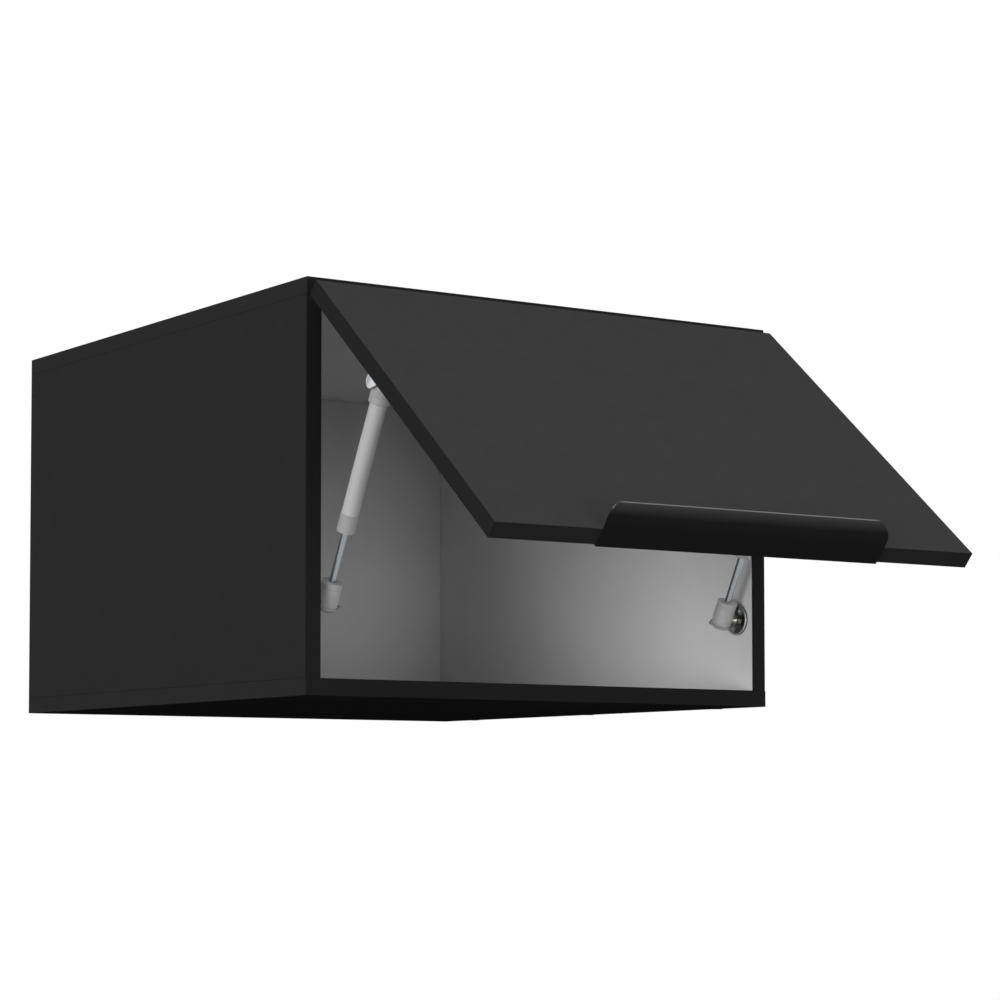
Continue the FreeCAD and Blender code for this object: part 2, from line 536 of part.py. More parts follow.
plate_screws = []
hinge_pins = []
cup_screws = []
cup_pins = []
for where, x in HINGES:
    wings = box("plate_wings_" + where, "plate_wing", "plate_wing_depth", "plate_thickness",
                x + " - plate_wing / 2", PLATE_Y + " - plate_wing_depth / 2", PLATE_LOW)
    ridge = box("plate_ridge_" + where, "arm_width - 2 * arm_sheet - 2 * link_gap", "ridge_length",
                "ridge_height", x + " - arm_width / 2 + arm_sheet + link_gap",
                PLATE_Y + " - ridge_length / 2", ARM_TOP)
    ways = []
    for hand in (-1, 1):
        name = "plate_screw_%s_%d" % (where, hand + 1)
        screw_x = "%s + %d * plate_screw_spacing / 2" % (x, hand)
        ways.append(screw_hole(name + "_way", "z", screw_x, PLATE_Y, PLATE_LOW))
        plate_screws.append(wood_screw(name, "z", screw_x, PLATE_Y, PLATE_LOW))
    part("hinge_plate_" + where, cut("plate_" + where, fuse("plate_blank_" + where, wings, ridge), *ways))

    outer = box("arm_outer_" + where, "arm_width", "arm_length", "arm_height", x + " - arm_width / 2",
                ARM_PIVOT_Y + " - link_end - arm_sheet", ARM_TOP + " - arm_height")
    drop = box("arm_drop_" + where, "arm_width", "2 * (link_end + arm_sheet)",
               ARM_TOP + " - " + ARM_PIVOT_Z, x + " - arm_width / 2",
               ARM_PIVOT_Y + " - link_end - arm_sheet", ARM_PIVOT_Z)
    eye = pin_between("arm_eye_" + where, "link_end + arm_sheet", "arm_width / 2",
                      x, ARM_PIVOT_Y, ARM_PIVOT_Z)
    hollow = box("arm_hollow_" + where, "arm_width - 2 * arm_sheet", "arm_length * 2", "arm_height * 2",
                 x + " - arm_width / 2 + arm_sheet", ARM_PIVOT_Y + " + link_end + 2 * arm_sheet",
                 ARM_TOP + " - arm_height + arm_sheet")
    throat = box("arm_throat_" + where, "arm_width - 2 * arm_sheet", "4 * (link_end + arm_sheet)",
                 "arm_pivot_down * 2", x + " - arm_width / 2 + arm_sheet",
                 ARM_PIVOT_Y + " - 3 * link_end - 2 * arm_sheet", ARM_PIVOT_Z + " - arm_pivot_down")
    near = pin_between("arm_pin_hole_" + where, "pivot_pin + pivot_play", "arm_width",
                       x, ARM_PIVOT_Y, ARM_PIVOT_Z)
    part("hinge_arm_" + where,
         cut("arm_" + where, fuse("arm_blank_" + where, outer, drop, eye), hollow, throat, near))
    hinge_pins.append(pin_between("hinge_pin_" + where, "pivot_pin", "arm_width / 2 + arm_sheet / 2",
                                  x, ARM_PIVOT_Y, ARM_PIVOT_Z))

    # the link is drawn standing on its near pivot, then laid towards the cup
    cheeks = []
    for hand in (-1, 1):
        start = LINK_IN if hand > 0 else "-" + LINK_OUT
        name = "link_%s_%d" % (where, hand + 1)
        bar = box(name + "_bar", "arm_sheet", "2 * link_end", "link_end", start, "-link_end", "0")
        bar.setExpression("Height", None)
        bar.Height = link_length
        near_end = rod(name + "_near", "link_end", "arm_sheet", "x", start, "0", "0")
        far_end = rod(name + "_far", "link_end", "arm_sheet", "x", start, "0", "0")
        far_end.setExpression("Placement.Base.z", None)
        far_end.Placement.Base.z = link_length
        cheeks += [bar, near_end, far_end]
    bush = pin_between("link_bush_" + where, "bush_radius", LINK_IN + " + arm_sheet / 2", "0", "0", "0")
    bore = pin_between("link_bore_" + where, "pivot_pin + pivot_play", "arm_width", "0", "0", "0")
    link = cut("link_" + where, fuse("link_blank_" + where, *(cheeks + [bush])), bore)
    hinge_x = (-1 if where == "left" else 1) * (read("cabinet_width") / 2 - read("hinge_inset"))
    part("hinge_link_" + where, link,
         FreeCAD.Placement(FreeCAD.Vector(hinge_x, 0, 0), FreeCAD.Rotation()).multiply(LINK_PLACE))

    # cup and its flange lie on the shut flap's inner face
    bowl = rod("cup_bowl_" + where, "cup_radius", "cup_depth", "-y", x, FLAP_IN, CUP_Z)
    rim = rod("cup_rim_" + where, "cup_radius + 2 * cup_flange", "cup_flange", "y", x, FLAP_IN, CUP_Z)
    wing = box("cup_wing_" + where, "cup_wing", "cup_flange", "cup_wing_height",
               x + " - cup_wing / 2", FLAP_IN, CUP_Z + " - cup_wing_height / 2")
    inside = rod("cup_inside_" + where, "cup_radius - cup_wall", "cup_depth - cup_wall + cup_flange", "y", x,
                 FLAP_IN + " - cup_depth + cup_wall", CUP_Z)
    shell = cut("cup_shell_" + where, fuse("cup_blank_" + where, bowl, rim, wing), inside)
    boss_foot = box("cup_boss_foot_" + where, "2 * " + BOSS_HALF, "cup_depth - cup_pin_depth - cup_wall / 2",
                    "2 * pivot_pin + 2 * cup_flange", x + " - " + BOSS_HALF,
                    FLAP_IN + " - cup_depth + cup_wall / 2", "0")
    boss_eye = pin_between("cup_boss_eye_" + where, "pivot_pin + cup_flange", BOSS_HALF, x,
                           FLAP_IN + " - cup_pin_depth", "0")
    pin_hole = pin_between("cup_pin_hole_" + where, "pivot_pin + pivot_play", "arm_width", x,
                           FLAP_IN + " - cup_pin_depth", "0")
    cup_pin = pin_between("cup_pin_" + where, "pivot_pin", BOSS_HALF, x, FLAP_IN + " - cup_pin_depth", "0")
    for thing, level in ((boss_foot, cup_pivot.z - read("pivot_pin") - read("cup_flange")),
                         (boss_eye, cup_pivot.z), (pin_hole, cup_pivot.z), (cup_pin, cup_pivot.z)):
        thing.setExpression("Placement.Base.z", None)
        thing.Placement.Base.z = level
    ways = [pin_hole]
    for hand in (-1, 1):
        name = "cup_screw_%s_%d" % (where, hand + 1)
        screw_x = "%s + %d * cup_screw_spacing / 2" % (x, hand)
        ways.append(screw_hole(name + "_way", "-y", screw_x, FLAP_IN + " + cup_flange", CUP_Z))
        cup_screws.append(wood_screw(name, "-y", screw_x, FLAP_IN + " + cup_flange", CUP_Z))
    cup_pins.append(cup_pin)
    part("hinge_cup_" + where,
         cut("cup_" + where, fuse("cup_all_" + where, shell, boss_foot, boss_eye), *ways), OPEN)
part("hinge_plate_screws", group("plate_screw_group", *plate_screws))
part("hinge_arm_pins", group("hinge_pin_group", *hinge_pins))
part("hinge_cup_screws", group("cup_screw_group", *cup_screws), OPEN)
part("hinge_cup_pins", group("cup_pin_group", *cup_pins), OPEN)

# ---------------------------------------------------------------------------------------------------
# Flap: one faced board, edged all round
# ---------------------------------------------------------------------------------------------------
HEAD_Y = FLAP_IN + " + strut_head_off"
HEAD_Z = FLAP_TOP + " - strut_head_drop"
STRUT_X = "(cabinet_width / 2 - board - strut_inset)"
EAR_X = "(cabinet_width / 2 - board - strut_inset + socket_radius + bracket_gap)"
HANDLE_SCREW_X = ("-handle_screw_spacing", "0", "handle_screw_spacing")
HANDLE_SCREW_Z = FLAP_LOW + " + handle_screw_up"


def bracket_screw_places():
    """The two screws of each strut bracket, one above and one below its ear."""
    for where, side in SIDES:
        for hand in (-1, 1):
            x = mirrored(side, EAR_X + " - bracket_screw_in")
            yield "%s_%d" % (where, hand + 1), x, "%s + %d * bracket_screw_pitch / 2" % (HEAD_Z, hand)


blank = box("flap_blank", FLAP_WIDE + " - 2 * edge_band", "board", FLAP_TALL + " - 2 * edge_band",
            "edge_band - %s / 2" % FLAP_WIDE, FLAP_OUT, FLAP_LOW + " + edge_band")
tools = []
for where, x in HINGES:
    tools.append(rod("cup_bore_" + where, "cup_radius + screw_play", "cup_depth + screw_play", "-y",
                     x, FLAP_IN, CUP_Z))
    for hand in (-1, 1):
        screw_x = "%s + %d * cup_screw_spacing / 2" % (x, hand)
        tools.append(screw_hole("cup_screw_hole_%s_%d" % (where, hand + 1), "-y",
                                screw_x, FLAP_IN + " + cup_flange", CUP_Z))
for name, x, z in bracket_screw_places():
    tools.append(screw_hole("bracket_hole_" + name, "-y", x, FLAP_IN + " + bracket_sheet", z))
for number, x in enumerate(HANDLE_SCREW_X):
    tools.append(screw_hole("handle_hole_%d" % number, "-y", x, FLAP_IN + " + handle_sheet", HANDLE_SCREW_Z))
part("flap_panel", cut("flap_cut", blank, *tools), OPEN)

bands = [box("flap_band_" + edge, FLAP_WIDE, "board", "edge_band", "-%s / 2" % FLAP_WIDE, FLAP_OUT, low)
         for edge, low in (("top", FLAP_TOP + " - edge_band"), ("low", FLAP_LOW))]
for where, side in SIDES:
    bands.append(box_on_side("flap_band_" + where, side, "edge_band", "board", FLAP_TALL + " - 2 * edge_band",
                             FLAP_WIDE + " / 2 - edge_band", FLAP_OUT, FLAP_LOW + " + edge_band"))
part("flap_edge_bands", group("flap_band_group", *bands), OPEN)

bumpers = []
for where, side in SIDES:
    x = mirrored(side, FLAP_WIDE + " / 2 - bumper_inset")
    bumpers.append(rod("bumper_" + where, "bumper_radius", "bumper_thickness", "y",
                       x, FLAP_IN, FLAP_LOW + " + bumper_inset"))
part("flap_bumpers", group("bumper_group", *bumpers), OPEN)

# Handle: a bent edge pull under the flap, with a flange on the inner face and a lip that curves upwards
handle_body = doc.addObject("PartDesign::Body", "HandleBody")
sheet_out = read("handle_sheet")
reach = read("handle_reach")
rise = read("handle_rise")
flat_out = read("handle_flat")
bend = ((reach - flat_out) ** 2 + rise ** 2) / (2 * rise)
lip_turn = 2 * math.atan2(rise, reach - flat_out)
face_out = flap_inner - read("board")
edge_low = read("top_above_rail") - read("cabinet_height") + read("flap_low_reveal")


def origin_plane(body, role):
    return next(plane for plane in body.Origin.OriginFeatures if plane.Role == role)


def section_point(y, z):
    return FreeCAD.Vector(y, z, 0)


bend_middle_y = face_out - flat_out
bend_middle_z = edge_low - sheet_out + bend
low_tip = section_point(bend_middle_y - bend * math.sin(lip_turn), bend_middle_z - bend * math.cos(lip_turn))
high_bend = bend - sheet_out
high_tip = section_point(bend_middle_y - high_bend * math.sin(lip_turn),
                         bend_middle_z - high_bend * math.cos(lip_turn))
corner = [
    section_point(bend_middle_y, edge_low - sheet_out),
    section_point(flap_inner + sheet_out, edge_low - sheet_out),
    section_point(flap_inner + sheet_out, edge_low + read("handle_back")),
    section_point(flap_inner, edge_low + read("handle_back")),
    section_point(flap_inner, edge_low),
    section_point(bend_middle_y, edge_low),
]
section = handle_body.newObject("Sketcher::SketchObject", "HandleSection")
section.AttachmentSupport = (origin_plane(handle_body, "YZ_Plane"), [""])
section.MapMode = "FlatFace"
middle = section_point(bend_middle_y, bend_middle_z)
down = -math.pi / 2
upright = FreeCAD.Vector(0, 0, 1)
outline = [Part.LineSegment(start, end) for start, end in zip(corner, corner[1:])]
outline.append(Part.ArcOfCircle(Part.Circle(middle, upright, high_bend), down - lip_turn, down))
outline.append(Part.LineSegment(high_tip, low_tip))
outline.append(Part.ArcOfCircle(Part.Circle(middle, upright, bend), down - lip_turn, down))
for edge in outline:
    section.addGeometry(edge, False)
pad = handle_body.newObject("PartDesign::Pad", "HandlePad")
pad.Profile = section
pad.Midplane = True
tie(pad, Length="handle_length")
corners = handle_body.newObject("Sketcher::SketchObject", "HandleCorners")
corners.AttachmentSupport = (origin_plane(handle_body, "XY_Plane"), [""])
corners.MapMode = "FlatFace"
tip_y = face_out - reach
rounding = read("handle_corner")
half_length = read("handle_length") / 2
for hand in (-1, 1):
    end_x = hand * half_length
    spare = FreeCAD.Vector(end_x + hand, tip_y - 1, 0)
    side_point = FreeCAD.Vector(end_x, tip_y + rounding, 0)
    tip_point = FreeCAD.Vector(end_x - hand * rounding, tip_y, 0)
    centre = FreeCAD.Vector(end_x - hand * rounding, tip_y + rounding, 0)
    first, last = (-math.pi / 2, 0) if hand > 0 else (math.pi, 3 * math.pi / 2)
    corners.addGeometry(Part.ArcOfCircle(Part.Circle(centre, upright, rounding), first, last), False)
    stops = [side_point, FreeCAD.Vector(spare.x, side_point.y, 0), spare,
             FreeCAD.Vector(tip_point.x, spare.y, 0), tip_point]
    for start, end in zip(stops, stops[1:]):
        corners.addGeometry(Part.LineSegment(start, end), False)
doc.recompute()
padded_volume = pad.Shape.Volume
trim = handle_body.newObject("PartDesign::Pocket", "HandleTrim")
trim.Profile = corners
trim.Type = "ThroughAll"
trim.Midplane = True
doc.recompute()
assert trim.Shape.Volume < padded_volume, "the lip's corners were not rounded"
handle_ways = [screw_hole("handle_way_%d" % number, "-y", x, FLAP_IN + " + handle_sheet", HANDLE_SCREW_Z)
               for number, x in enumerate(HANDLE_SCREW_X)]
part("handle", cut("handle_cut", handle_body, *handle_ways), OPEN)
part("handle_screws", group("handle_screw_group", *[
    wood_screw("handle_screw_%d" % number, "-y", x, FLAP_IN + " + handle_sheet", HANDLE_SCREW_Z)
    for number, x in enumerate(HANDLE_SCREW_X)]), OPEN)

# ---------------------------------------------------------------------------------------------------
# Gas struts: each is drawn standing on its lower ball, then leaned towards the flap's ball
# ---------------------------------------------------------------------------------------------------
foot = FreeCAD.Vector(0, front + read("strut_foot_back"),
                      read("top_above_rail") - read("cabinet_height") + read("strut_foot_up"))
head_shut = FreeCAD.Vector(0, flap_inner + read("strut_head_off"), flap_top - read("strut_head_drop"))
head = OPEN.multVec(head_shut)
lean = head - foot
strut_length = lean.Length
lean_turn = FreeCAD.Rotation(FreeCAD.Vector(0, 0, 1), lean)
GLAND_LOW = "(socket_length + rod_shown)"
TUBE_LOW = "(socket_length + rod_shown + gland_length)"


def revolved(name, points):
    """A turned piece: its half section is drawn beside the strut's axis and spun about it."""
    body = doc.addObject("PartDesign::Body", name + "_body")
    sketch = body.newObject("Sketcher::SketchObject", name + "_half_section")
    sketch.AttachmentSupport = (origin_plane(body, "XZ_Plane"), [""])
    sketch.MapMode = "FlatFace"
    ring = [FreeCAD.Vector(radius, level, 0) for radius, level in points]
    for start, end in zip(ring, ring[1:] + ring[:1]):
        sketch.addGeometry(Part.LineSegment(start, end), False)
    turn = body.newObject("PartDesign::Revolution", name + "_turn")
    turn.Profile = sketch
    turn.ReferenceAxis = (sketch, ["V_Axis"])
    turn.Angle = 360
    return body


def socket(name, side, up):
    """A moulded ball socket: a grooved barrel with a threaded end and a side opening for the ball."""
    direction = "z" if up > 0 else "-z"
    back = "-z" if up > 0 else "z"
    barrel_end = "%d * (socket_end - socket_taper)" % -up
    barrel = rod(name + "_barrel", "socket_radius", "socket_length + socket_end - socket_taper", direction,
                 "0", "0", barrel_end)
    tip = cone(name + "_tip", "socket_radius", "socket_tip_radius", "socket_taper", back, "0", "0", barrel_end)
    ring = doc.addObject("Part::Torus", name + "_groove")
    stand(tie(ring, Radius1="socket_radius + socket_groove / 2", Radius2="socket_groove"),
          "0", "0", "%d * socket_groove_place" % up)
    seat = ball(name + "_seat", "ball_radius + ball_play", "0", "0", "0")
    mouth = rod(name + "_mouth", "ball_radius + ball_play", "socket_radius * 2", "x" if side > 0 else "-x",
                "0", "0", "0")
    thread = rod(name + "_thread", "rod_radius + screw_play", "socket_length", direction, "0", "0",
                 "%d * (thread_depth - screw_play)" % up)
    return cut(name, fuse(name + "_blank", barrel, tip), seat, mouth, thread, ring)


for where, side in SIDES:
    offset = side * (read("cabinet_width") / 2 - read("board") - read("strut_inset"))
    low_place = FreeCAD.Placement(FreeCAD.Vector(offset, foot.y, foot.z), lean_turn)
    top_place = FreeCAD.Placement(FreeCAD.Vector(offset, head.y, head.z), lean_turn)
    gland_low = read("socket_length") + read("rod_shown")
    tube_low = gland_low + read("gland_length")
    tube_top = strut_length - read("socket_length")
    tube_bore = read("tube_radius") - read("tube_wall")
    rod_way = read("rod_radius") + read("pivot_play")
    stud_top = strut_length - read("thread_depth")

    # fixed to the side panel
    x = mirrored(side, ANCHOR_IN)
    outwards = "x" if side > 0 else "-x"
    inwards = "-x" if side > 0 else "x"
    disc = rod("anchor_disc_" + where, "anchor_radius", "anchor_thickness", outwards, x, FOOT_Y, FOOT_Z)
    ways = [screw_hole("anchor_way_%s_%d" % (where, number), outwards, x, y, z)
            for number, (y, z) in enumerate(anchor_screw_places())]
    stud_way = rod("anchor_stud_way_" + where, "stud_radius + screw_play", "anchor_thickness * 3", outwards,
                   mirrored(side, ANCHOR_IN + " - anchor_thickness"), FOOT_Y, FOOT_Z)
    part("strut_anchor_plate_" + where, cut("anchor_" + where, disc, stud_way, *ways))
    stem = rod("anchor_stem_" + where, "stud_radius", "strut_inset", outwards,
               mirrored(side, STRUT_X), FOOT_Y, FOOT_Z)
    collar = rod("anchor_collar_" + where, "stud_radius * 2", "anchor_thickness", inwards, x, FOOT_Y, FOOT_Z)
    knob = ball("anchor_ball_" + where, "ball_radius", mirrored(side, STRUT_X), FOOT_Y, FOOT_Z)
    part("strut_anchor_stud_" + where, fuse("anchor_stud_" + where, stem, collar, knob))

    # rides with the rod
    part("rod_socket_" + where, socket("low_socket_" + where, side, 1), low_place)
    rod_low = read("thread_depth")
    rod_high = tube_low + read("piston_stand") + read("piston_length") + read("rod_past_piston")
    rod_out = read("rod_radius")
    part("gas_rod_" + where, revolved("rod_bar_" + where, [
        (0, rod_low), (rod_out, rod_low), (rod_out, rod_high), (0, rod_high)]), low_place)
    piston = rod("piston_disc_" + where, "tube_radius - tube_wall - piston_play", "piston_length", "z",
                 "0", "0", TUBE_LOW + " + piston_stand")
    bore = rod("piston_bore_" + where, "rod_radius + screw_play", "piston_length * 3", "z",
               "0", "0", TUBE_LOW)
    part("piston_" + where, cut("piston_ring_" + where, piston, bore), low_place)

    # rides with the tube
    spigot = tube_low + read("piston_length") / 2
    part("strut_gland_" + where, revolved("gland_" + where, [
        (rod_way, gland_low), (read("gland_radius"), gland_low), (read("gland_radius"), tube_low),
        (tube_bore, tube_low), (tube_bore, spigot), (rod_way, spigot)]), low_place)
    part("gas_tube_" + where, revolved("tube_" + where, [
        (tube_bore, tube_low), (read("tube_radius"), tube_low),
        (read("tube_radius"), tube_top - read("tube_wall")), (tube_bore, tube_top),
        (read("rod_radius"), tube_top), (read("rod_radius"), stud_top), (0, stud_top),
        (0, tube_top - 2 * read("tube_wall")), (tube_bore, tube_top - 2 * read("tube_wall"))]), low_place)
    part("tube_socket_" + where, socket("top_socket_" + where, side, -1), top_place)
    stem = rod("head_stem_" + where, "stud_radius", "socket_radius + bracket_gap - ball_play", outwards,
               "0", "0", "0")
    collar = rod("head_collar_" + where, "stud_radius * 2", "bracket_gap - clip_thickness - 2 * ball_play",
                 outwards, mirrored(side, "socket_radius + clip_thickness + ball_play"), "0", "0")
    knob = ball("head_ball_" + where, "ball_radius", "0", "0", "0")
    part("flap_ball_stud_" + where, fuse("head_stud_" + where, stem, collar, knob), top_place)

    # one spring clip round each socket
    clips = []
    for name, up in (("rod", 1), ("tube", -1)):
        low = "-clip_offset - clip_width / 2" if up > 0 else "clip_offset - clip_width / 2"
        band = rod("clip_band_%s_%s" % (name, where), "socket_radius + screw_play + clip_thickness",
                   "clip_width", "z", "0", "0", low)
        hole = rod("clip_hole_%s_%s" % (name, where), "socket_radius + screw_play", "clip_width * 3", "z",
                   "0", "0", low + " - clip_width")
        gap = box("clip_gap_%s_%s" % (name, where), "clip_opening", "socket_radius * 2", "clip_width * 3",
                  "-clip_opening / 2", "0", low + " - clip_width")
        part("%s_socket_clip_%s" % (name, where), cut("clip_%s_%s" % (name, where), band, hole, gap),
             low_place if up > 0 else top_place)

    # fixed to the flap
    foot_plate = box_on_side("bracket_foot_" + where, side, "bracket_width", "bracket_sheet",
                             "bracket_length", EAR_X + " + bracket_sheet - bracket_width", FLAP_IN,
                             HEAD_Z + " - bracket_length / 2")
    ear = box_on_side("bracket_ear_" + where, side, "bracket_sheet", "strut_head_off", "ear_radius * 2",
                      EAR_X, FLAP_IN, HEAD_Z + " - ear_radius")
    crown = rod("bracket_crown_" + where, "ear_radius", "bracket_sheet", outwards, mirrored(side, EAR_X),
                HEAD_Y, HEAD_Z)
    ways = [screw_hole("bracket_way_" + name, "-y", screw_x, FLAP_IN + " + bracket_sheet", z)
            for name, screw_x, z in bracket_screw_places() if name.startswith(where)]
    part("flap_bracket_" + where,
         cut("bracket_" + where, fuse("bracket_blank_" + where, foot_plate, ear, crown), *ways), OPEN)

part("strut_anchor_screws", group("anchor_screw_group", *[
    wood_screw("anchor_screw_%s_%d" % (where, number), "x" if side > 0 else "-x",
               mirrored(side, ANCHOR_IN), y, z)
    for where, side in SIDES for number, (y, z) in enumerate(anchor_screw_places())]))
part("flap_bracket_screws", group("bracket_screw_group", *[
    wood_screw("bracket_screw_" + name, "-y", x, FLAP_IN + " + bracket_sheet", z)
    for name, x, z in bracket_screw_places()]), OPEN)

# ---------------------------------------------------------------------------------------------------
# Check everything, then write one file for each sub-part
# ---------------------------------------------------------------------------------------------------
doc.recompute()
faulty = [thing.Name for thing in doc.Objects if {"Invalid", "Error"} & set(thing.State)]
assert not faulty, "failed objects: " + ", ".join(faulty)
for label, thing in PARTS.items():
    shape = thing.Shape
    assert not shape.isNull() and shape.isValid() and shape.Volume > 0, label + " has no sound shape"

os.makedirs("parts", exist_ok=True)
for label, thing in PARTS.items():
    thing.Shape.exportStep("parts/%s.step" % label)
print("sub-parts:", len(PARTS))
print("hinge line %.3f %.3f  arm pivot %.3f %.3f  cup pivot open %.3f %.3f" % (
    hinge_line.y, hinge_line.z, arm_pivot.y, arm_pivot.z, cup_pivot_open.y, cup_pivot_open.z))
print("strut foot %.3f %.3f  head %.3f %.3f  head shut %.3f %.3f  length %.3f" % (
    foot.y, foot.z, head.y, head.z, head_shut.y, head_shut.z, strut_length))
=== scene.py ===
"""Looks of a lift up wall cabinet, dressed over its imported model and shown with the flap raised."""
import math

import bmesh
import bpy
import numpy as np
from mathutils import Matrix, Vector
from mathutils.bvhtree import BVHTree


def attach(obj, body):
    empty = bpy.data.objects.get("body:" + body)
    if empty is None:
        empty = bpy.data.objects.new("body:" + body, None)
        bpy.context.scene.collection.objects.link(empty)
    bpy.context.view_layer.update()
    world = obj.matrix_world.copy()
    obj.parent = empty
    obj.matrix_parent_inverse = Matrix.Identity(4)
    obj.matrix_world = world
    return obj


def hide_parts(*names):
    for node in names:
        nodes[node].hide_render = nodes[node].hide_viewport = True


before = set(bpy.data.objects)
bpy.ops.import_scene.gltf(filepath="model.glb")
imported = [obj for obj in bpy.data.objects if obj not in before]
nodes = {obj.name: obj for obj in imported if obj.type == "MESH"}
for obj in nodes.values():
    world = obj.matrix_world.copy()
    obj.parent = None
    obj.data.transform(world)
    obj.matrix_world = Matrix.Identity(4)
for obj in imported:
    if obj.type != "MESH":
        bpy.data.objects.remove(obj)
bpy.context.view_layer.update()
MM = 0.001

# ---- Studio ---------------------------------------------------------------------------------------
# A pale floor far below the cabinet, as under a wall unit, and white all round. The camera stands left
# of the cabinet and a little under its floor, as in the photograph.
scene = bpy.context.scene
scene.view_settings.view_transform = "Standard"


def linear(hex_colour):
    """An sRGB hex colour as linear light."""
    parts = [int(hex_colour[i:i + 2], 16) / 255 for i in (1, 3, 5)]
    return [p / 12.92 if p <= 0.04045 else ((p + 0.055) / 1.055) ** 2.4 for p in parts] + [1.0]


def add(tree, kind, sockets=None, **settings):
    """Adds a node with its settings; a socket gets a value, or a link from another node's output."""
    made = tree.nodes.new(kind)
    for name, value in settings.items():
        setattr(made, name, value)
    for name, value in (sockets or {}).items():
        if isinstance(value, bpy.types.NodeSocket):
            tree.links.new(value, made.inputs[name])
        else:
            made.inputs[name].default_value = value
    return made


def finish(name, colour, rough, metal=0.0):
    """A new material; returns it with its tree, its shader and the piece's own coordinates."""
    made = bpy.data.materials.new(name)
    made.use_nodes = True
    shader = made.node_tree.nodes["Principled BSDF"]
    shader.inputs["Base Color"].default_value = linear(colour)
    shader.inputs["Roughness"].default_value = rough
    shader.inputs["Metallic"].default_value = metal
    place = add(made.node_tree, "ShaderNodeTexCoord").outputs["Object"]
    return made, made.node_tree, shader, place


def seen_directly(tree):
    """One for what the camera, a reflection or a clear piece looks at, and nought for light on its way."""
    ray = add(tree, "ShaderNodeLightPath").outputs
    seen = ray["Is Camera Ray"]
    for kind in ("Is Glossy Ray", "Is Transmission Ray"):
        seen = add(tree, "ShaderNodeMath", {0: seen, 1: ray[kind]}, operation="MAXIMUM").outputs[0]
    return seen


FLOOR_BELOW = 1.9
FLOOR_SIZE = 14
bpy.ops.mesh.primitive_plane_add(size=FLOOR_SIZE, location=(0, 0, -FLOOR_BELOW))
floor = bpy.context.object
floor.name = "studio_floor"
# pale to look at, but dark to the light that falls on it, so that little comes back up from below
pale = bpy.data.materials.new("pale floor")
pale.use_nodes = True
tree = pale.node_tree
tree.nodes["Principled BSDF"].inputs["Base Color"].default_value = linear("#F4F4F4")
tree.nodes["Principled BSDF"].inputs["Roughness"].default_value = 0.9
dark = add(tree, "ShaderNodeBsdfDiffuse", {"Color": linear("#303030")})
mixed = add(tree, "ShaderNodeMixShader", {0: seen_directly(tree), 1: dark.outputs[0],
                                          2: tree.nodes["Principled BSDF"].outputs[0]})
tree.links.new(mixed.outputs[0], tree.nodes["Material Output"].inputs["Surface"])
floor.data.materials.append(pale)

AMBIENT = 0.08
world = bpy.data.worlds.new("studio")
scene.world = world
world.use_nodes = True
tree = world.node_tree
soft = add(tree, "ShaderNodeBackground", {"Color": linear("#FFFFFF"), "Strength": AMBIENT})
white = add(tree, "ShaderNodeBackground", {"Color": linear("#FFFFFF"), "Strength": 1.0})
mixed = add(tree, "ShaderNodeMixShader", {0: seen_directly(tree), 1: soft.outputs[0], 2: white.outputs[0]})
tree.links.new(mixed.outputs[0], tree.nodes["World Output"].inputs["Surface"])


def hang_lamp(name, kind, side):
    """A lamp whose light comes from the given side of the cabinet."""
    lamp = bpy.data.lights.new(name, kind)
    holder = bpy.data.objects.new(name, lamp)
    holder.rotation_euler = Vector(side).to_track_quat("Z", "Y").to_euler()
    scene.collection.objects.link(holder)
    return lamp, holder


# far lamps: from which side the light comes, its level on a wall that faces it, its softness in degrees
FAR_LAMPS = (
    ("top_light", (0.0, -0.1, 1.0), 0.84, 50),
    ("left_light", (-0.88, -0.48, 0.0), 0.52, 35),
    ("right_light", (0.95, -0.12, -0.06), 0.34, 50),
    ("back_light", (0.2, 0.95, 0.15), 0.4, 50),
)
for name, side, level, softness in FAR_LAMPS:
    lamp, _ = hang_lamp(name, "SUN", side)
    lamp.energy = level * math.pi
    lamp.angle = math.radians(softness)

# a large lamp low in front, whose light goes in under the raised flap
FRONT_PLACE = (0.3, -4.0, -0.55)
FRONT_WIDTH = 1.2
FRONT_POWER = 23
lamp, holder = hang_lamp("front_light", "AREA", FRONT_PLACE)
lamp.shape = "DISK"
lamp.size = FRONT_WIDTH
lamp.energy = FRONT_POWER
holder.location = FRONT_PLACE
holder.visible_camera = False

# the camera, as worked out from the straight edges in the photograph, in millimetres and degrees
CAMERA_PLACE = (-1467.57, -2636.26, -413.97)
CAMERA_TILT = 3.1636
CAMERA_HEADING = -33.5699
camera = bpy.data.cameras.new("camera")
camera.sensor_width = 36
camera.lens = 102.9257
camera.shift_x = 0.03
camera.shift_y = 0.15
camera.clip_end = 100
camera_object = bpy.data.objects.new("camera", camera)
camera_object.location = Vector(CAMERA_PLACE) * MM
camera_object.rotation_euler = (math.radians(90 + CAMERA_TILT), 0, math.radians(CAMERA_HEADING))
scene.collection.objects.link(camera_object)
scene.camera = camera_object

# ---- Carcass boards -------------------------------------------------------------------------------
# Two sides, a top and a bottom of 15 mm chipboard, faced with matt black melamine outside and light
# grey melamine inside. They are sawn, drilled and screwed together; the sawn rear edges stay raw.
BOARD_ARRIS = 0.4            # in millimetres, on edges over LONG_EDGE, as shorter ones are drilled holes
LONG_EDGE = 14 * MM
HALF_INSIDE = 235 * MM       # inner faces of the two sides, to the left and right of the middle
CEILING = 23 * MM
CABINET_FLOOR = -304 * MM
SKIN = 0.32 * MM             # the melamine's thickness, so that the inner faces are inside the light part
RAW_DEPTH = 0.2 * MM         # how far in from the sawn back edges their chips show
WELD = 0.001 * MM            # corners that are nearer than this are one
ONE_PLANE = math.radians(0.5)
SHARP_TURN = math.radians(40)
ROUND_TURN = math.radians(24)


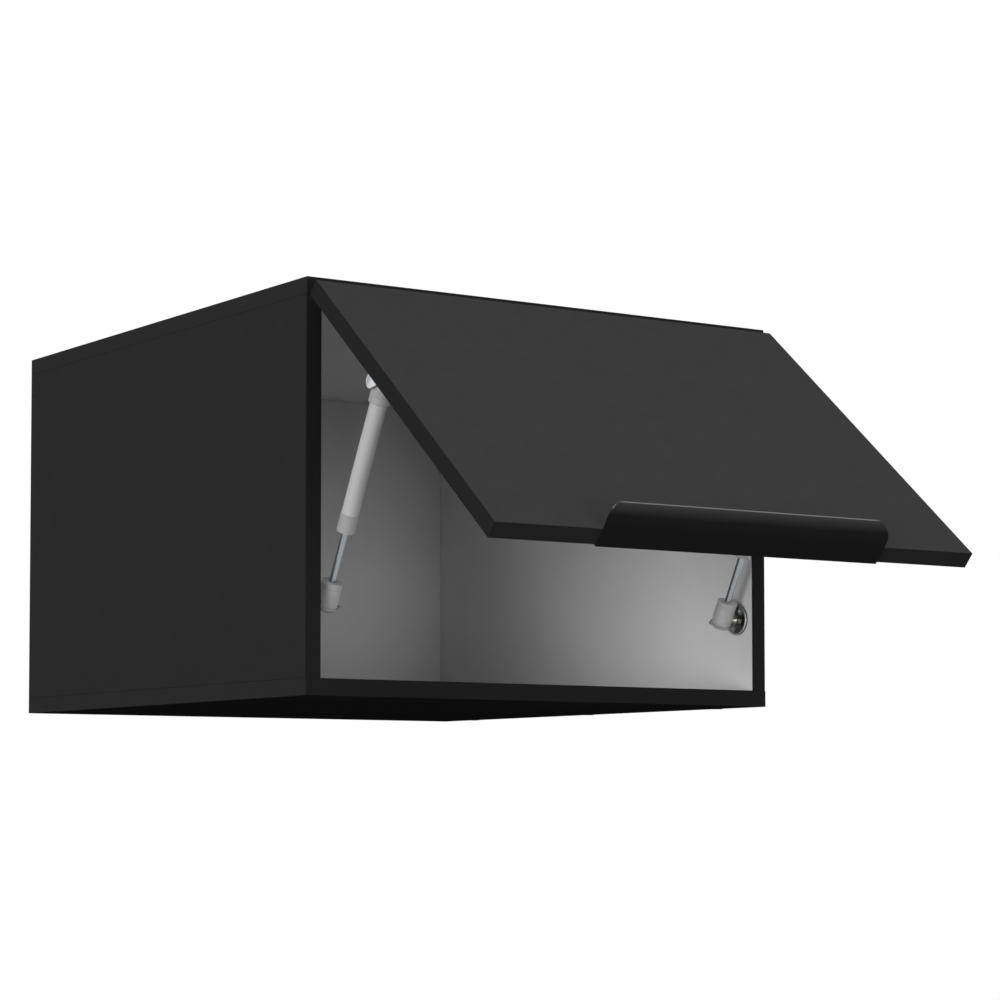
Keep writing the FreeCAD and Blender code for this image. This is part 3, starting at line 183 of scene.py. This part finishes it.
def paint_mix(tree, amount, first, second):
    """Two colours mixed by an amount; each is a hex colour or another node's output."""
    mix = add(tree, "ShaderNodeMix", {0: amount}, data_type="RGBA")
    for place_in_mix, colour in ((6, first), (7, second)):
        if isinstance(colour, str):
            mix.inputs[place_in_mix].default_value = linear(colour)
        else:
            tree.links.new(colour, mix.inputs[place_in_mix])
    return mix.outputs[2]


def dressed(node, body, material, arris=0.0, shortest=0.0):
    """A finished copy of a node's solids; sharp edges over a shortest length get an arris in mm."""
    piece = bpy.data.objects.new(node + "_finished", nodes[node].data.copy())
    scene.collection.objects.link(piece)
    form = bmesh.new()
    form.from_mesh(piece.data)
    bmesh.ops.remove_doubles(form, verts=form.verts, dist=WELD)
    if arris:
        bmesh.ops.dissolve_limit(form, angle_limit=ONE_PLANE, verts=form.verts, edges=form.edges)
        corners = [edge for edge in form.edges
                   if len(edge.link_faces) == 2 and edge.calc_face_angle() > SHARP_TURN
                   and edge.calc_length() > shortest]
        bmesh.ops.bevel(form, geom=corners, offset=arris * MM, segments=2, profile=0.5, affect="EDGES",
                        clamp_overlap=True)
        bmesh.ops.remove_doubles(form, verts=form.verts, dist=WELD)
    bmesh.ops.recalc_face_normals(form, faces=form.faces)
    form.to_mesh(piece.data)
    form.free()
    piece.data.materials.clear()
    piece.data.materials.append(material)
    piece.data.shade_smooth()
    piece.data.set_sharp_from_angle(angle=ROUND_TURN)
    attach(piece, body)
    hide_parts(node)
    return piece


# Melamine pressed on chipboard: dull, with a fine pearl grain that is drawn about twice its real
# 0.7 mm so that it shows, and a black that drifts a little over 17 mm. A pattern's scale is its
# repeats to the metre, here and in all other materials: 650 is one in 1.5 mm.
def melamine(name):
    """Matt black melamine, with what a board that is light inside goes on from."""
    made, tree, shader, place = finish(name, "#393939", 0.62)
    grain = add(tree, "ShaderNodeTexNoise", {"Vector": place, "Scale": 650.0, "Detail": 3.0,
                                             "Roughness": 0.6})
    bump = add(tree, "ShaderNodeBump", {"Height": grain.outputs["Fac"], "Strength": 0.12,
                                        "Distance": 0.4 * MM})
    tree.links.new(bump.outputs[0], shader.inputs["Normal"])
    drift = add(tree, "ShaderNodeTexNoise", {"Vector": place, "Scale": 60.0, "Detail": 2.0})
    black = paint_mix(tree, drift.outputs["Fac"], "#373737", "#3B3B3B")
    tree.links.new(black, shader.inputs["Base Color"])
    shader.inputs["Specular IOR Level"].default_value = 0.0
    return made, tree, shader, place, drift.outputs["Fac"], black


# The boards are light between their inner faces, and their sawn back edges show bare chips that are
# drawn 2.4 mm across.
board, tree, shader, place, drift, black = melamine("faced chipboard, black outside and light inside")
axes = add(tree, "ShaderNodeSeparateXYZ", {0: place})
off_middle = add(tree, "ShaderNodeMath", {0: axes.outputs["X"]}, operation="ABSOLUTE")
inside = 1.0
for measure, limit, test in ((off_middle.outputs[0], HALF_INSIDE + SKIN, "LESS_THAN"),
                             (axes.outputs["Z"], CEILING + SKIN, "LESS_THAN"),
                             (axes.outputs["Z"], CABINET_FLOOR - SKIN, "GREATER_THAN")):
    passed = add(tree, "ShaderNodeMath", {0: measure, 1: limit}, operation=test).outputs[0]
    inside = add(tree, "ShaderNodeMath", {0: inside, 1: passed}, operation="MULTIPLY").outputs[0]
light = paint_mix(tree, drift, "#F0F0F0", "#F4F4F4")
coat = paint_mix(tree, inside, black, light)
chips = add(tree, "ShaderNodeTexVoronoi", {"Vector": place, "Scale": 420.0, "Randomness": 1.0})
chip_tone = add(tree, "ShaderNodeRGBToBW", {0: chips.outputs["Color"]})
bare_board = paint_mix(tree, chip_tone.outputs[0], "#8E7252", "#C9AE86")
bare = add(tree, "ShaderNodeMath", {0: axes.outputs["Y"], 1: -RAW_DEPTH}, operation="GREATER_THAN")
tree.links.new(paint_mix(tree, bare.outputs[0], coat, bare_board), shader.inputs["Base Color"])
for name in ("side_panel_left", "side_panel_right", "top_panel", "bottom_panel"):
    dressed(name, "carcass", board, BOARD_ARRIS, LONG_EDGE)

# ---- Edge bands of the carcass --------------------------------------------------------------------
# Strips of 1.5 mm black plastic edging, ironed on the boards' front edges and trimmed flush. Each
# strip is its own piece, so a fine line shows where two of them meet.
BAND_ARRIS = 0.4


# Extruded plastic edging: matt, with a faint unevenness from the trimming cutter, drawn 1.2 mm across;
# its tone is given at each use.
def edging(name, colour, darker, lighter):
    """Matt plastic edging whose tone moves a little between two colours."""
    made, tree, shader, place = finish(name, colour, 0.55)
    trimmed = add(tree, "ShaderNodeTexNoise", {"Vector": place, "Scale": 830.0, "Detail": 1.0})
    tree.links.new(paint_mix(tree, trimmed.outputs["Fac"], darker, lighter), shader.inputs["Base Color"])
    shader.inputs["Specular IOR Level"].default_value = 0.0
    return made


# the carcass's edging is painted darker than the faces, #2A2A2A against #393939, as painted shade on its
# front edges
band = edging("black plastic edging", "#2A2A2A", "#282828", "#2C2C2C")
dressed("carcass_edge_bands", "carcass", band, BAND_ARRIS)

# ---- Joints of the carcass ------------------------------------------------------------------------
# Beech dowels and steel confirmat screws hold the boards together. Both are hidden in the boards;
# a disc of self-adhesive black foil covers each screw's head.
# Turned beech: pale and dull, with fibres 1 mm apart and 11 mm long that run along the dowels.
beech, tree, shader, place = finish("turned beech", "#C8A27A", 0.7)
fibre_place = add(tree, "ShaderNodeMapping", {"Vector": place, "Scale": (1000.0, 1000.0, 90.0)})
fibres = add(tree, "ShaderNodeTexNoise", {"Vector": fibre_place.outputs[0], "Scale": 1.0, "Detail": 2.0})
tree.links.new(paint_mix(tree, fibres.outputs["Fac"], "#B98F66", "#D6B48C"), shader.inputs["Base Color"])
# Pressed foil: flat black, with a slight tooth drawn 1.1 mm apart.
foil, tree, shader, place = finish("self-adhesive black foil", "#343434", 0.6)
tooth = add(tree, "ShaderNodeTexNoise", {"Vector": place, "Scale": 900.0, "Detail": 2.0})
tree.links.new(paint_mix(tree, tooth.outputs["Fac"], "#303030", "#393939"), shader.inputs["Base Color"])
shader.inputs["Specular IOR Level"].default_value = 0.0


def plated(name, colour, rough, mottle, spread):
    """A plated steel whose gloss changes over a mottle in millimetres, by a spread of its roughness."""
    made, tree, shader, place = finish(name, colour, rough, 1.0)
    patches = add(tree, "ShaderNodeTexNoise", {"Vector": place, "Scale": 1 / (mottle * MM), "Detail": 3.0})
    gloss = add(tree, "ShaderNodeMapRange", {"Value": patches.outputs["Fac"], "To Min": rough - spread,
                                             "To Max": rough + spread})
    tree.links.new(gloss.outputs[0], shader.inputs["Roughness"])
    dent = add(tree, "ShaderNodeBump", {"Height": patches.outputs["Fac"], "Strength": 0.08,
                                        "Distance": 0.3 * MM})
    tree.links.new(dent.outputs[0], shader.inputs["Normal"])
    return made


# Bright zinc on rolled or turned steel: a bluish silver with soft, slightly blotchy reflections.
zinc = plated("bright zinc plated steel", "#D4D7DA", 0.34, 4, 0.08)
for name, slot_name, material in (("beech_dowels", "beech", beech), ("carcass_screws", "zinc_steel", zinc)):
    dressed(name, "carcass", material)
dressed("screw_cover_discs", "carcass", foil, 0.1)

# ---- Back panel -----------------------------------------------------------------------------------
# A sheet of 3 mm hardboard slid into grooves of the boards, with a window for each hanger's hook. It
# is lacquered light grey inside and left as brown fibreboard at the back.
BACK_MIDDLE = -10.5 * MM     # half way through the sheet, where the lacquered half ends
hardboard, tree, shader, place = finish("hardboard, lacquered inside and raw behind", "#F0F0F0", 0.6)
# Pressed wood fibre: brown, with a mottle of 5 mm; the lacquer is even, with an orange peel of 2.5 mm.
axes = add(tree, "ShaderNodeSeparateXYZ", {0: place})
behind = add(tree, "ShaderNodeMath", {0: axes.outputs["Y"], 1: BACK_MIDDLE}, operation="GREATER_THAN")
felt = add(tree, "ShaderNodeTexNoise", {"Vector": place, "Scale": 200.0, "Detail": 6.0, "Roughness": 0.7})
peel = add(tree, "ShaderNodeTexNoise", {"Vector": place, "Scale": 400.0, "Detail": 2.0})
raw_fibre = paint_mix(tree, felt.outputs["Fac"], "#6B4C30", "#9A7650")
lacquer = paint_mix(tree, peel.outputs["Fac"], "#F0F0F0", "#F4F4F4")
tree.links.new(paint_mix(tree, behind.outputs[0], lacquer, raw_fibre), shader.inputs["Base Color"])
bump = add(tree, "ShaderNodeBump", {"Height": felt.outputs["Fac"], "Strength": 0.1, "Distance": 0.4 * MM})
tree.links.new(bump.outputs[0], shader.inputs["Normal"])
shader.inputs["Specular IOR Level"].default_value = 0.0
dressed("back_panel", "carcass", hardboard, 0.2)

# ---- Hangers and wall rail ------------------------------------------------------------------------
# A moulded white housing sits in each rear corner, with a steel hook that two screws move. The hook
# drops behind the lip of a rolled steel rail, which is screwed to the wall.
# Injection moulded polypropylene: white, soft gloss, with a spark-eroded texture of about 1 mm.
moulded, tree, shader, place = finish("moulded white polypropylene", "#E9E9E6", 0.42)
spark = add(tree, "ShaderNodeTexNoise", {"Vector": place, "Scale": 1000.0, "Detail": 2.0})
bump = add(tree, "ShaderNodeBump", {"Height": spark.outputs["Fac"], "Strength": 0.15, "Distance": 0.2 * MM})
tree.links.new(bump.outputs[0], shader.inputs["Normal"])
# Hot-dip galvanised strip: grey, with zinc crystals drawn 6 mm across.
galvanised, tree, shader, place = finish("galvanised steel strip", "#AEB2B5", 0.4, 1.0)
crystals = add(tree, "ShaderNodeTexVoronoi", {"Vector": place, "Scale": 165.0})
crystal_tone = add(tree, "ShaderNodeRGBToBW", {0: crystals.outputs["Color"]})
tree.links.new(paint_mix(tree, crystal_tone.outputs[0], "#9DA1A5", "#C3C7CA"), shader.inputs["Base Color"])
for side in ("left", "right"):
    dressed("hanger_housing_" + side, "carcass", moulded, 0.6)
    dressed("hanger_hook_" + side, "carcass", zinc, 0.4)
dressed("wall_rail", "carcass", galvanised, 0.2)

# ---- Concealed hinges -----------------------------------------------------------------------------
# Two sprung cup hinges: a plate and an arm pressed from sheet under the top panel, a drawn cup in the
# flap, and a link of two riveted cheeks that turns on the arm's pin.
# Nickel on pressed steel: a warm silver, smoother than the zinc.
nickel = plated("nickel plated steel", "#C8C4BC", 0.24, 6, 0.05)
HINGE_ARRIS = 0.3
for side in ("left", "right"):
    for name in ("hinge_plate_", "hinge_arm_"):
        dressed(name + side, "carcass", nickel, HINGE_ARRIS)
    dressed("hinge_link_" + side, "hinge_links", nickel, HINGE_ARRIS)
    dressed("hinge_cup_" + side, "flap", nickel, HINGE_ARRIS)
dressed("hinge_arm_pins", "carcass", nickel, HINGE_ARRIS)
dressed("hinge_cup_pins", "flap", nickel, HINGE_ARRIS)

# ---- Flap -----------------------------------------------------------------------------------------
# One 15 mm board faced black on both sides, edged all round with the same plastic strip, with clear
# rubber bumpers stuck in its lower corners.
front_board = melamine("matt black melamine front")[0]
# the same strip on the flap is painted a tone of its own, #313131 against #2A2A2A on the carcass, as painted
# light and shade for how its edges are lit
flap_band = edging("black plastic edging of the flap", "#313131", "#2F2F2F", "#333333")
dressed("flap_panel", "flap", front_board)
dressed("flap_edge_bands", "flap", flap_band)
# Cast polyurethane: clear and soft, so it takes the colour behind it, and a little uneven over 2 mm.
rubber, tree, shader, place = finish("clear soft rubber", "#DCDCDC", 0.25)
shader.inputs["Transmission Weight"].default_value = 0.6
shader.inputs["IOR"].default_value = 1.49
skin = add(tree, "ShaderNodeTexNoise", {"Vector": place, "Scale": 500.0})
bump = add(tree, "ShaderNodeBump", {"Height": skin.outputs["Fac"], "Strength": 0.05, "Distance": 0.3 * MM})
tree.links.new(bump.outputs[0], shader.inputs["Normal"])
dressed("flap_bumpers", "flap", rubber, 0.6)

# ---- Handle ---------------------------------------------------------------------------------------
# An edge pull bent from 1.2 mm aluminium sheet, screwed under the flap. Its lip curves upwards in
# front and has two rounded corners; its free edge is chamfered after the black finish and painted paler,
# partly as bare metal and partly as a painted highlight.
SHEET = 1.2 * MM
CHAMFER = 1.1 * MM
OPEN_ANGLE = math.radians(49.8)
OUTWARDS = (0.0, -math.cos(OPEN_ANGLE), math.sin(OPEN_ANGLE))   # square to the open flap's outer face
FACE_PLACE = 388.4155 * MM                                      # that face's distance from the origin
# where the painted highlight on the handle begins and where it is full
HIGHLIGHT_START = 13 * MM                                          # both in front of that face
HIGHLIGHT_END = 23 * MM
# Bead blasted and anodised aluminium: near black and dull, its grain drawn 0.7 mm apart, with a painted
# highlight that makes it a little lighter towards the lip's free edge.
anodised, tree, shader, place = finish("black anodised aluminium", "#212121", 0.5)
outwards = add(tree, "ShaderNodeVectorMath", {0: place, 1: OUTWARDS}, operation="DOT_PRODUCT")
# polished is the painted highlight: nought near the flap's face, one out towards the lip's free edge
polished = add(tree, "ShaderNodeMapRange", {"Value": outwards.outputs["Value"],
                                            "From Min": FACE_PLACE + HIGHLIGHT_START,
                                            "From Max": FACE_PLACE + HIGHLIGHT_END})
blast = add(tree, "ShaderNodeTexNoise", {"Vector": place, "Scale": 1400.0, "Detail": 2.0})
dull = paint_mix(tree, blast.outputs["Fac"], "#222222", "#262626")
tree.links.new(paint_mix(tree, polished.outputs[0], dull, "#464646"), shader.inputs["Base Color"])
bump = add(tree, "ShaderNodeBump", {"Height": blast.outputs["Fac"], "Strength": 0.08, "Distance": 0.2 * MM})
tree.links.new(bump.outputs[0], shader.inputs["Normal"])
shader.inputs["Specular IOR Level"].default_value = 0.0
# The sheared edge: bare aluminium, painted a pale grey that is partly its own colour and partly a painted
# highlight along the edge, uneven from its burr, drawn 0.5 mm across.
cut_edge_and_highlight, tree, shader, place = finish("sheared aluminium edge", "#7C7C7C", 0.6)
burr = add(tree, "ShaderNodeTexNoise", {"Vector": place, "Scale": 2000.0, "Detail": 1.0})
tree.links.new(paint_mix(tree, burr.outputs["Fac"], "#747474", "#848484"), shader.inputs["Base Color"])
shader.inputs["Specular IOR Level"].default_value = 0.1

# The chamfer is cut from the front of the lip's top edge, and it and the edge's rim get the pale metal
# with its painted highlight.
# A face looks forwards or upwards where its normal is past these; the rim is metal for more than a
# sheet's thickness down.
FORWARDS = -0.9
UPWARDS = 0.5
JUST_INSIDE = 0.01 * MM
THROUGH_SHEET = 1.3 * SHEET
handle = dressed("handle", "flap", anodised)
handle.data.materials.append(cut_edge_and_highlight)
form = bmesh.new()
form.from_mesh(handle.data)
lip_top = max(vertex.co.z for vertex in form.verts)
near_edge = [vertex for vertex in form.verts if lip_top - vertex.co.z < CHAMFER]
fronts = [vertex for vertex in near_edge if any(face.normal.y < FORWARDS for face in vertex.link_faces)]
solid = BVHTree.FromBMesh(form)
for face in form.faces:
    start = face.calc_center_median() - face.normal * JUST_INSIDE
    depth = solid.ray_cast(start, -face.normal)[3]
    on_rim = face.normal.z > UPWARDS and (depth is None or depth > THROUGH_SHEET)
    if on_rim or all(vertex in fronts for vertex in face.verts):
        face.material_index = 1
for vertex in fronts:
    vertex.co.y += CHAMFER - (lip_top - vertex.co.z)
form.to_mesh(handle.data)
form.free()

# ---- Gas struts -----------------------------------------------------------------------------------
# A round plate with a ball stud on each side panel, a moulded ball socket on the chromed rod, a drawn
# tube with its gland and piston, and a second socket at the flap's bracket. Spring clips lock the balls.
STEEL_ARRIS = 0.25
MOULDED_ARRIS = 0.15
PLATE_RADIUS = 14.4 * MM
PLATE_FACE = 233 * MM        # the anchor plates' faces, to the left and right of the middle
RIM_WIDTH = 2.0 * MM
RIM_RISE = 0.35 * MM
RIM_SUNK = 0.4 * MM          # how far the rim's foot goes into the plate
RIM_STEPS = 72
# the strut's lower and upper ball in y and z, how it leans between them, and its place left and right
FOOT = (-529 * MM, -236.5 * MM)
HEAD = (-620.761 * MM, -59.256 * MM)
LEAN = Vector((HEAD[0] - FOOT[0], HEAD[1] - FOOT[1])).normalized()
STRUT_AXIS = 216 * MM

# Lacquered tube: a satin silver that turns from light to dark round the tube, its flakes drawn 0.7 mm
# apart.
silver, tree, shader, place = finish("silver lacquered steel tube", "#E6E6E6", 0.5)
flakes = add(tree, "ShaderNodeTexNoise", {"Vector": place, "Scale": 1500.0, "Detail": 2.0})
tree.links.new(paint_mix(tree, flakes.outputs["Fac"], "#E2E2E2", "#EAEAEA"), shader.inputs["Base Color"])
# Hard chrome, ground: a bluish mirror with grinding lines round the rod, drawn 0.8 mm apart.
chrome, tree, shader, place = finish("hard chromed and ground steel", "#8C9093", 0.3, 1.0)
rings_place = add(tree, "ShaderNodeMapping", {"Vector": place, "Scale": (10.0, 10.0, 1250.0)})
ground = add(tree, "ShaderNodeTexNoise", {"Vector": rings_place.outputs[0], "Scale": 1.0, "Detail": 1.0})
gloss = add(tree, "ShaderNodeMapRange", {"Value": ground.outputs["Fac"], "To Min": 0.25, "To Max": 0.35})
tree.links.new(gloss.outputs[0], shader.inputs["Roughness"])
# Glass-filled polyamide: light grey, satin, with a faint swirl of 4 mm from moulding.
polyamide, tree, shader, place = finish("glass-filled grey polyamide", "#C4C4C4", 0.45)
swirl = add(tree, "ShaderNodeTexNoise", {"Vector": place, "Scale": 260.0, "Detail": 4.0, "Distortion": 1.0})
tree.links.new(paint_mix(tree, swirl.outputs["Fac"], "#BEBEBE", "#CACACA"), shader.inputs["Base Color"])
# Polished steel on the anchor plate, a dark mirror; its turned rim, which is paler and satin; and
# spring wire as it is drawn, grey and half bright.
mirror_steel = plated("polished steel plate", "#6C6E70", 0.16, 8, 0.03)
satin_steel = plated("satin turned steel rim", "#BDBDBD", 0.55, 3, 0.05)
spring = plated("drawn spring wire", "#8F9193", 0.4, 3, 0.06)
# the spring clips: the radius of the wire and of its ring, which lies past the ball on the strut's
# line, the loop for the thumb and its spread in radians, and the ring's gap from its middle
SOCKET_RADIUS = 9.4 * MM
WIRE = 0.6 * MM
WIRE_RING = SOCKET_RADIUS + WIRE
WIRE_BEYOND = 4.7 * MM
THUMB_LOOP = 3.2 * MM
LOOP_SPREAD = 0.28
HALF_GAP = math.radians(25)
WIRE_STEPS = 40

for side, hand in (("left", -1), ("right", 1)):
    dressed("strut_anchor_plate_" + side, "carcass", mirror_steel, 0.3)
    dressed("strut_anchor_stud_" + side, "carcass", nickel)
    # the raised rim of the anchor plate, turned about the stud
    section = ((PLATE_RADIUS - RIM_WIDTH, 0.0), (PLATE_RADIUS - RIM_WIDTH * 0.8, RIM_RISE),
               (PLATE_RADIUS - RIM_WIDTH * 0.2, RIM_RISE), (PLATE_RADIUS, 0.0),
               (PLATE_RADIUS, -RIM_SUNK), (PLATE_RADIUS - RIM_WIDTH, -RIM_SUNK))
    form = bmesh.new()
    corners = [form.verts.new((hand * (PLATE_FACE - rise), FOOT[0] + radius, FOOT[1]))
               for radius, rise in section]
    outline = [form.edges.new((corners[i - 1], corners[i])) for i in range(len(corners))]
    bmesh.ops.spin(form, geom=corners + outline, cent=(0, *FOOT), axis=(1, 0, 0), angle=2 * math.pi,
                   steps=RIM_STEPS, use_duplicate=False)
    bmesh.ops.remove_doubles(form, verts=form.verts, dist=WELD)
    bmesh.ops.recalc_face_normals(form, faces=form.faces)
    rim_mesh = bpy.data.meshes.new("strut_anchor_rim_" + side)
    form.to_mesh(rim_mesh)
    form.free()
    rim = bpy.data.objects.new("strut_anchor_rim_" + side, rim_mesh)
    scene.collection.objects.link(rim)
    rim_mesh.materials.append(satin_steel)
    rim_mesh.shade_smooth()
    rim_mesh.set_sharp_from_angle(angle=ROUND_TURN)
    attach(rim, "carcass")

    dressed("rod_socket_" + side, side + "_rod", polyamide, MOULDED_ARRIS)
    dressed("gas_rod_" + side, side + "_rod", chrome)
    dressed("piston_" + side, side + "_rod", polyamide, 0.2)
    dressed("strut_gland_" + side, side + "_tube", polyamide, 0.3)
    dressed("gas_tube_" + side, side + "_tube", silver)
    dressed("tube_socket_" + side, side + "_tube", polyamide, MOULDED_ARRIS)
    dressed("flap_ball_stud_" + side, side + "_tube", nickel)
    dressed("flap_bracket_" + side, "flap", zinc, STEEL_ARRIS)

    # spring clips: a wire ring round each socket, with a thumb loop on its inner side
    for name, body, ball, up in (("rod", side + "_rod", FOOT, -1), ("tube", side + "_tube", HEAD, 1)):
        wire = bpy.data.curves.new("%s_wire_clip_%s" % (name, side), "CURVE")
        wire.dimensions = "3D"
        wire.bevel_depth = WIRE
        wire.bevel_resolution = 4
        wire.use_fill_caps = True
        path = wire.splines.new("NURBS")
        sweep = 2 * math.pi - 2 * HALF_GAP
        turns = [HALF_GAP + sweep * step / WIRE_STEPS for step in range(WIRE_STEPS + 1)]
        path.points.add(len(turns) - 1)
        inner = math.pi / 2 if hand < 0 else 3 * math.pi / 2
        for point, turn in zip(path.points, turns):
            reach = WIRE_RING + THUMB_LOOP * math.exp(-((turn - inner) / LOOP_SPREAD) ** 2)
            across, ahead = reach * math.sin(turn), reach * math.cos(turn)
            point.co = (hand * STRUT_AXIS + across, ball[0] + up * WIRE_BEYOND * LEAN[0] + ahead * LEAN[1],
                        ball[1] + up * WIRE_BEYOND * LEAN[1] - ahead * LEAN[0], 1.0)
        path.order_u = 3
        path.use_endpoint_u = True
        curve_object = bpy.data.objects.new("wire", wire)
        scene.collection.objects.link(curve_object)
        clip_mesh = bpy.data.meshes.new_from_object(
            curve_object.evaluated_get(bpy.context.evaluated_depsgraph_get()))
        bpy.data.objects.remove(curve_object)
        clip_mesh.materials.clear()
        clip_mesh.materials.append(spring)
        clip_mesh.shade_smooth()
        clip = bpy.data.objects.new("%s_wire_clip_%s" % (name, side), clip_mesh)
        scene.collection.objects.link(clip)
        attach(clip, body)
        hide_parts("%s_socket_clip_%s" % (name, side))

# ---- Small screws ---------------------------------------------------------------------------------
# Countersunk chipboard screws, 3.5 by 12 mm, with a cross recess: they hold the hinges, the hangers,
# the strut plates, the brackets and the handle. Each is set where its plain solid is.
# The tree makes one screw with its head's face at the origin, joins head and shank, sinks the cross
# and sets a copy on each point, along the point's own axis.
screws = bpy.data.node_groups.new("cross_head_screws", "GeometryNodeTree")
SCREW_SIZES = (("Head Radius", 3.5), ("Head Depth", 2.0), ("Shank Radius", 1.75), ("Length", 12.0),
               ("Recess Length", 4.2), ("Recess Width", 0.9), ("Recess Depth", 1.4))
screws.interface.new_socket("Points", in_out="INPUT", socket_type="NodeSocketGeometry")
for name, size in SCREW_SIZES:
    screws.interface.new_socket(name, in_out="INPUT", socket_type="NodeSocketFloat").default_value = size * MM
screws.interface.new_socket("Sides", in_out="INPUT", socket_type="NodeSocketInt").default_value = 32
screws.interface.new_socket("Finish", in_out="INPUT", socket_type="NodeSocketMaterial")
screws.interface.new_socket("Screws", in_out="OUTPUT", socket_type="NodeSocketGeometry")
given = screws.nodes.new("NodeGroupInput").outputs
down = add(screws, "ShaderNodeMath", {0: given["Head Depth"], 1: -1.0}, operation="MULTIPLY")
head_low = add(screws, "ShaderNodeCombineXYZ", {"Z": down.outputs[0]})
cone = add(screws, "GeometryNodeMeshCone", {"Vertices": given["Sides"], "Radius Top": given["Head Radius"],
                                            "Radius Bottom": given["Shank Radius"],
                                            "Depth": given["Head Depth"]})
head_blank = add(screws, "GeometryNodeTransform", {"Geometry": cone.outputs["Mesh"],
                                                   "Translation": head_low.outputs[0]})
recess = []
for along, across in (("Recess Length", "Recess Width"), ("Recess Width", "Recess Length")):
    twice = add(screws, "ShaderNodeMath", {0: given["Recess Depth"], 1: 2.0}, operation="MULTIPLY")
    size = add(screws, "ShaderNodeCombineXYZ", {"X": given[along], "Y": given[across], "Z": twice.outputs[0]})
    recess.append(add(screws, "GeometryNodeMeshCube", {"Size": size.outputs[0]}).outputs["Mesh"])
shank_top = add(screws, "ShaderNodeMath", {0: given["Head Depth"], 1: 0.5}, operation="MULTIPLY")
rest_length = add(screws, "ShaderNodeMath", {0: given["Length"], 1: shank_top.outputs[0]},
                  operation="SUBTRACT")
shank = add(screws, "GeometryNodeMeshCylinder", {"Vertices": given["Sides"], "Radius": given["Shank Radius"],
                                                 "Depth": rest_length.outputs[0]})
both = add(screws, "ShaderNodeMath", {0: given["Length"], 1: shank_top.outputs[0]}, operation="ADD")
shank_middle = add(screws, "ShaderNodeMath", {0: both.outputs[0], 1: -0.5}, operation="MULTIPLY")
shank_low = add(screws, "ShaderNodeCombineXYZ", {"Z": shank_middle.outputs[0]})
shank_place = add(screws, "GeometryNodeTransform", {"Geometry": shank.outputs["Mesh"],
                                                    "Translation": shank_low.outputs[0]})
blank = add(screws, "GeometryNodeMeshBoolean", {"Mesh 2": head_blank.outputs[0]},
            operation="UNION", solver="EXACT")
screws.links.new(shank_place.outputs[0], blank.inputs["Mesh 2"])
screw = add(screws, "GeometryNodeMeshBoolean", {"Mesh 1": blank.outputs[0], "Mesh 2": recess[0]},
            operation="DIFFERENCE", solver="EXACT")
screws.links.new(recess[1], screw.inputs["Mesh 2"])
axis = add(screws, "GeometryNodeInputNamedAttribute", {"Name": "axis"}, data_type="FLOAT_VECTOR")
turned = add(screws, "FunctionNodeAlignRotationToVector", {"Vector": axis.outputs["Attribute"]}, axis="Z")
set_in = add(screws, "GeometryNodeInstanceOnPoints", {"Points": given["Points"], "Instance": screw.outputs[0],
                                                      "Rotation": turned.outputs[0]})
real = add(screws, "GeometryNodeRealizeInstances", {"Geometry": set_in.outputs[0]})
coated = add(screws, "GeometryNodeSetMaterial", {"Geometry": real.outputs[0], "Material": given["Finish"]})
done = screws.nodes.new("NodeGroupOutput")
screws.links.new(coated.outputs[0], done.inputs["Screws"])


def screw_seats(node):
    """Where the screws of a node have their heads' faces, and which way those faces point."""
    form = bmesh.new()
    form.from_mesh(nodes[node].data)
    bmesh.ops.remove_doubles(form, verts=form.verts, dist=WELD)
    reached = set()
    seats = []
    for first in form.verts:
        if first in reached:
            continue
        reached.add(first)
        body = [first]
        for vertex in body:
            near = [edge.other_vert(vertex) for edge in vertex.link_edges]
            near = [other for other in near if other not in reached]
            reached.update(near)
            body.extend(near)
        points = np.array([vertex.co[:] for vertex in body])
        middle = points.mean(axis=0)
        along = np.linalg.eigh(np.cov((points - middle).T))[1][:, 2]
        heights = (points - middle) @ along
        widths = np.linalg.norm(points - middle - np.outer(heights, along), axis=1)
        # the head is the wider end, or on a set screw, which is as wide at both, the end towards the room
        wider = widths[heights > 0].max() - widths[heights < 0].max()
        if wider < -WELD or (abs(wider) <= WELD and along[1] > 0):
            along, heights = -along, -heights
        seats.append((middle + along * heights.max(), along))
    form.free()
    return seats


def set_screws(name, body, material, replaced, sizes=()):
    """One mesh of screws for a body, standing for the nodes of plain screws that it replaces."""
    seats = [seat for node in replaced for seat in screw_seats(node)]
    points = bpy.data.meshes.new(name)
    points.from_pydata([tuple(place) for place, _ in seats], [], [])
    axis_values = points.attributes.new("axis", "FLOAT_VECTOR", "POINT")
    for row, (_, along) in zip(axis_values.data, seats):
        row.vector = along
    piece = bpy.data.objects.new(name, points)
    scene.collection.objects.link(piece)
    modifier = piece.modifiers.new("screws", "NODES")
    modifier.node_group = screws
    wanted = dict(sizes)
    for socket in screws.interface.items_tree:
        if socket.in_out == "INPUT" and socket.name in wanted:
            modifier[socket.identifier] = wanted[socket.name] * MM
        elif socket.name == "Finish":
            modifier[socket.identifier] = material
    finished = bpy.data.meshes.new_from_object(piece.evaluated_get(bpy.context.evaluated_depsgraph_get()))
    piece.modifiers.clear()
    piece.data = finished
    finished.set_sharp_from_angle(angle=ROUND_TURN)
    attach(piece, body)
    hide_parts(*replaced)


set_screws("carcass_small_screws", "carcass", zinc,
           ("hinge_plate_screws", "strut_anchor_screws", "hanger_fixing_screws"))
set_screws("flap_small_screws", "flap", zinc,
           ("hinge_cup_screws", "flap_bracket_screws", "handle_screws"))
set_screws("hanger_set_screws", "carcass", zinc, ("hanger_adjusting_screws",),
           (("Head Depth", 5.6), ("Shank Radius", 3.1), ("Length", 6.0), ("Recess Depth", 2.5)))
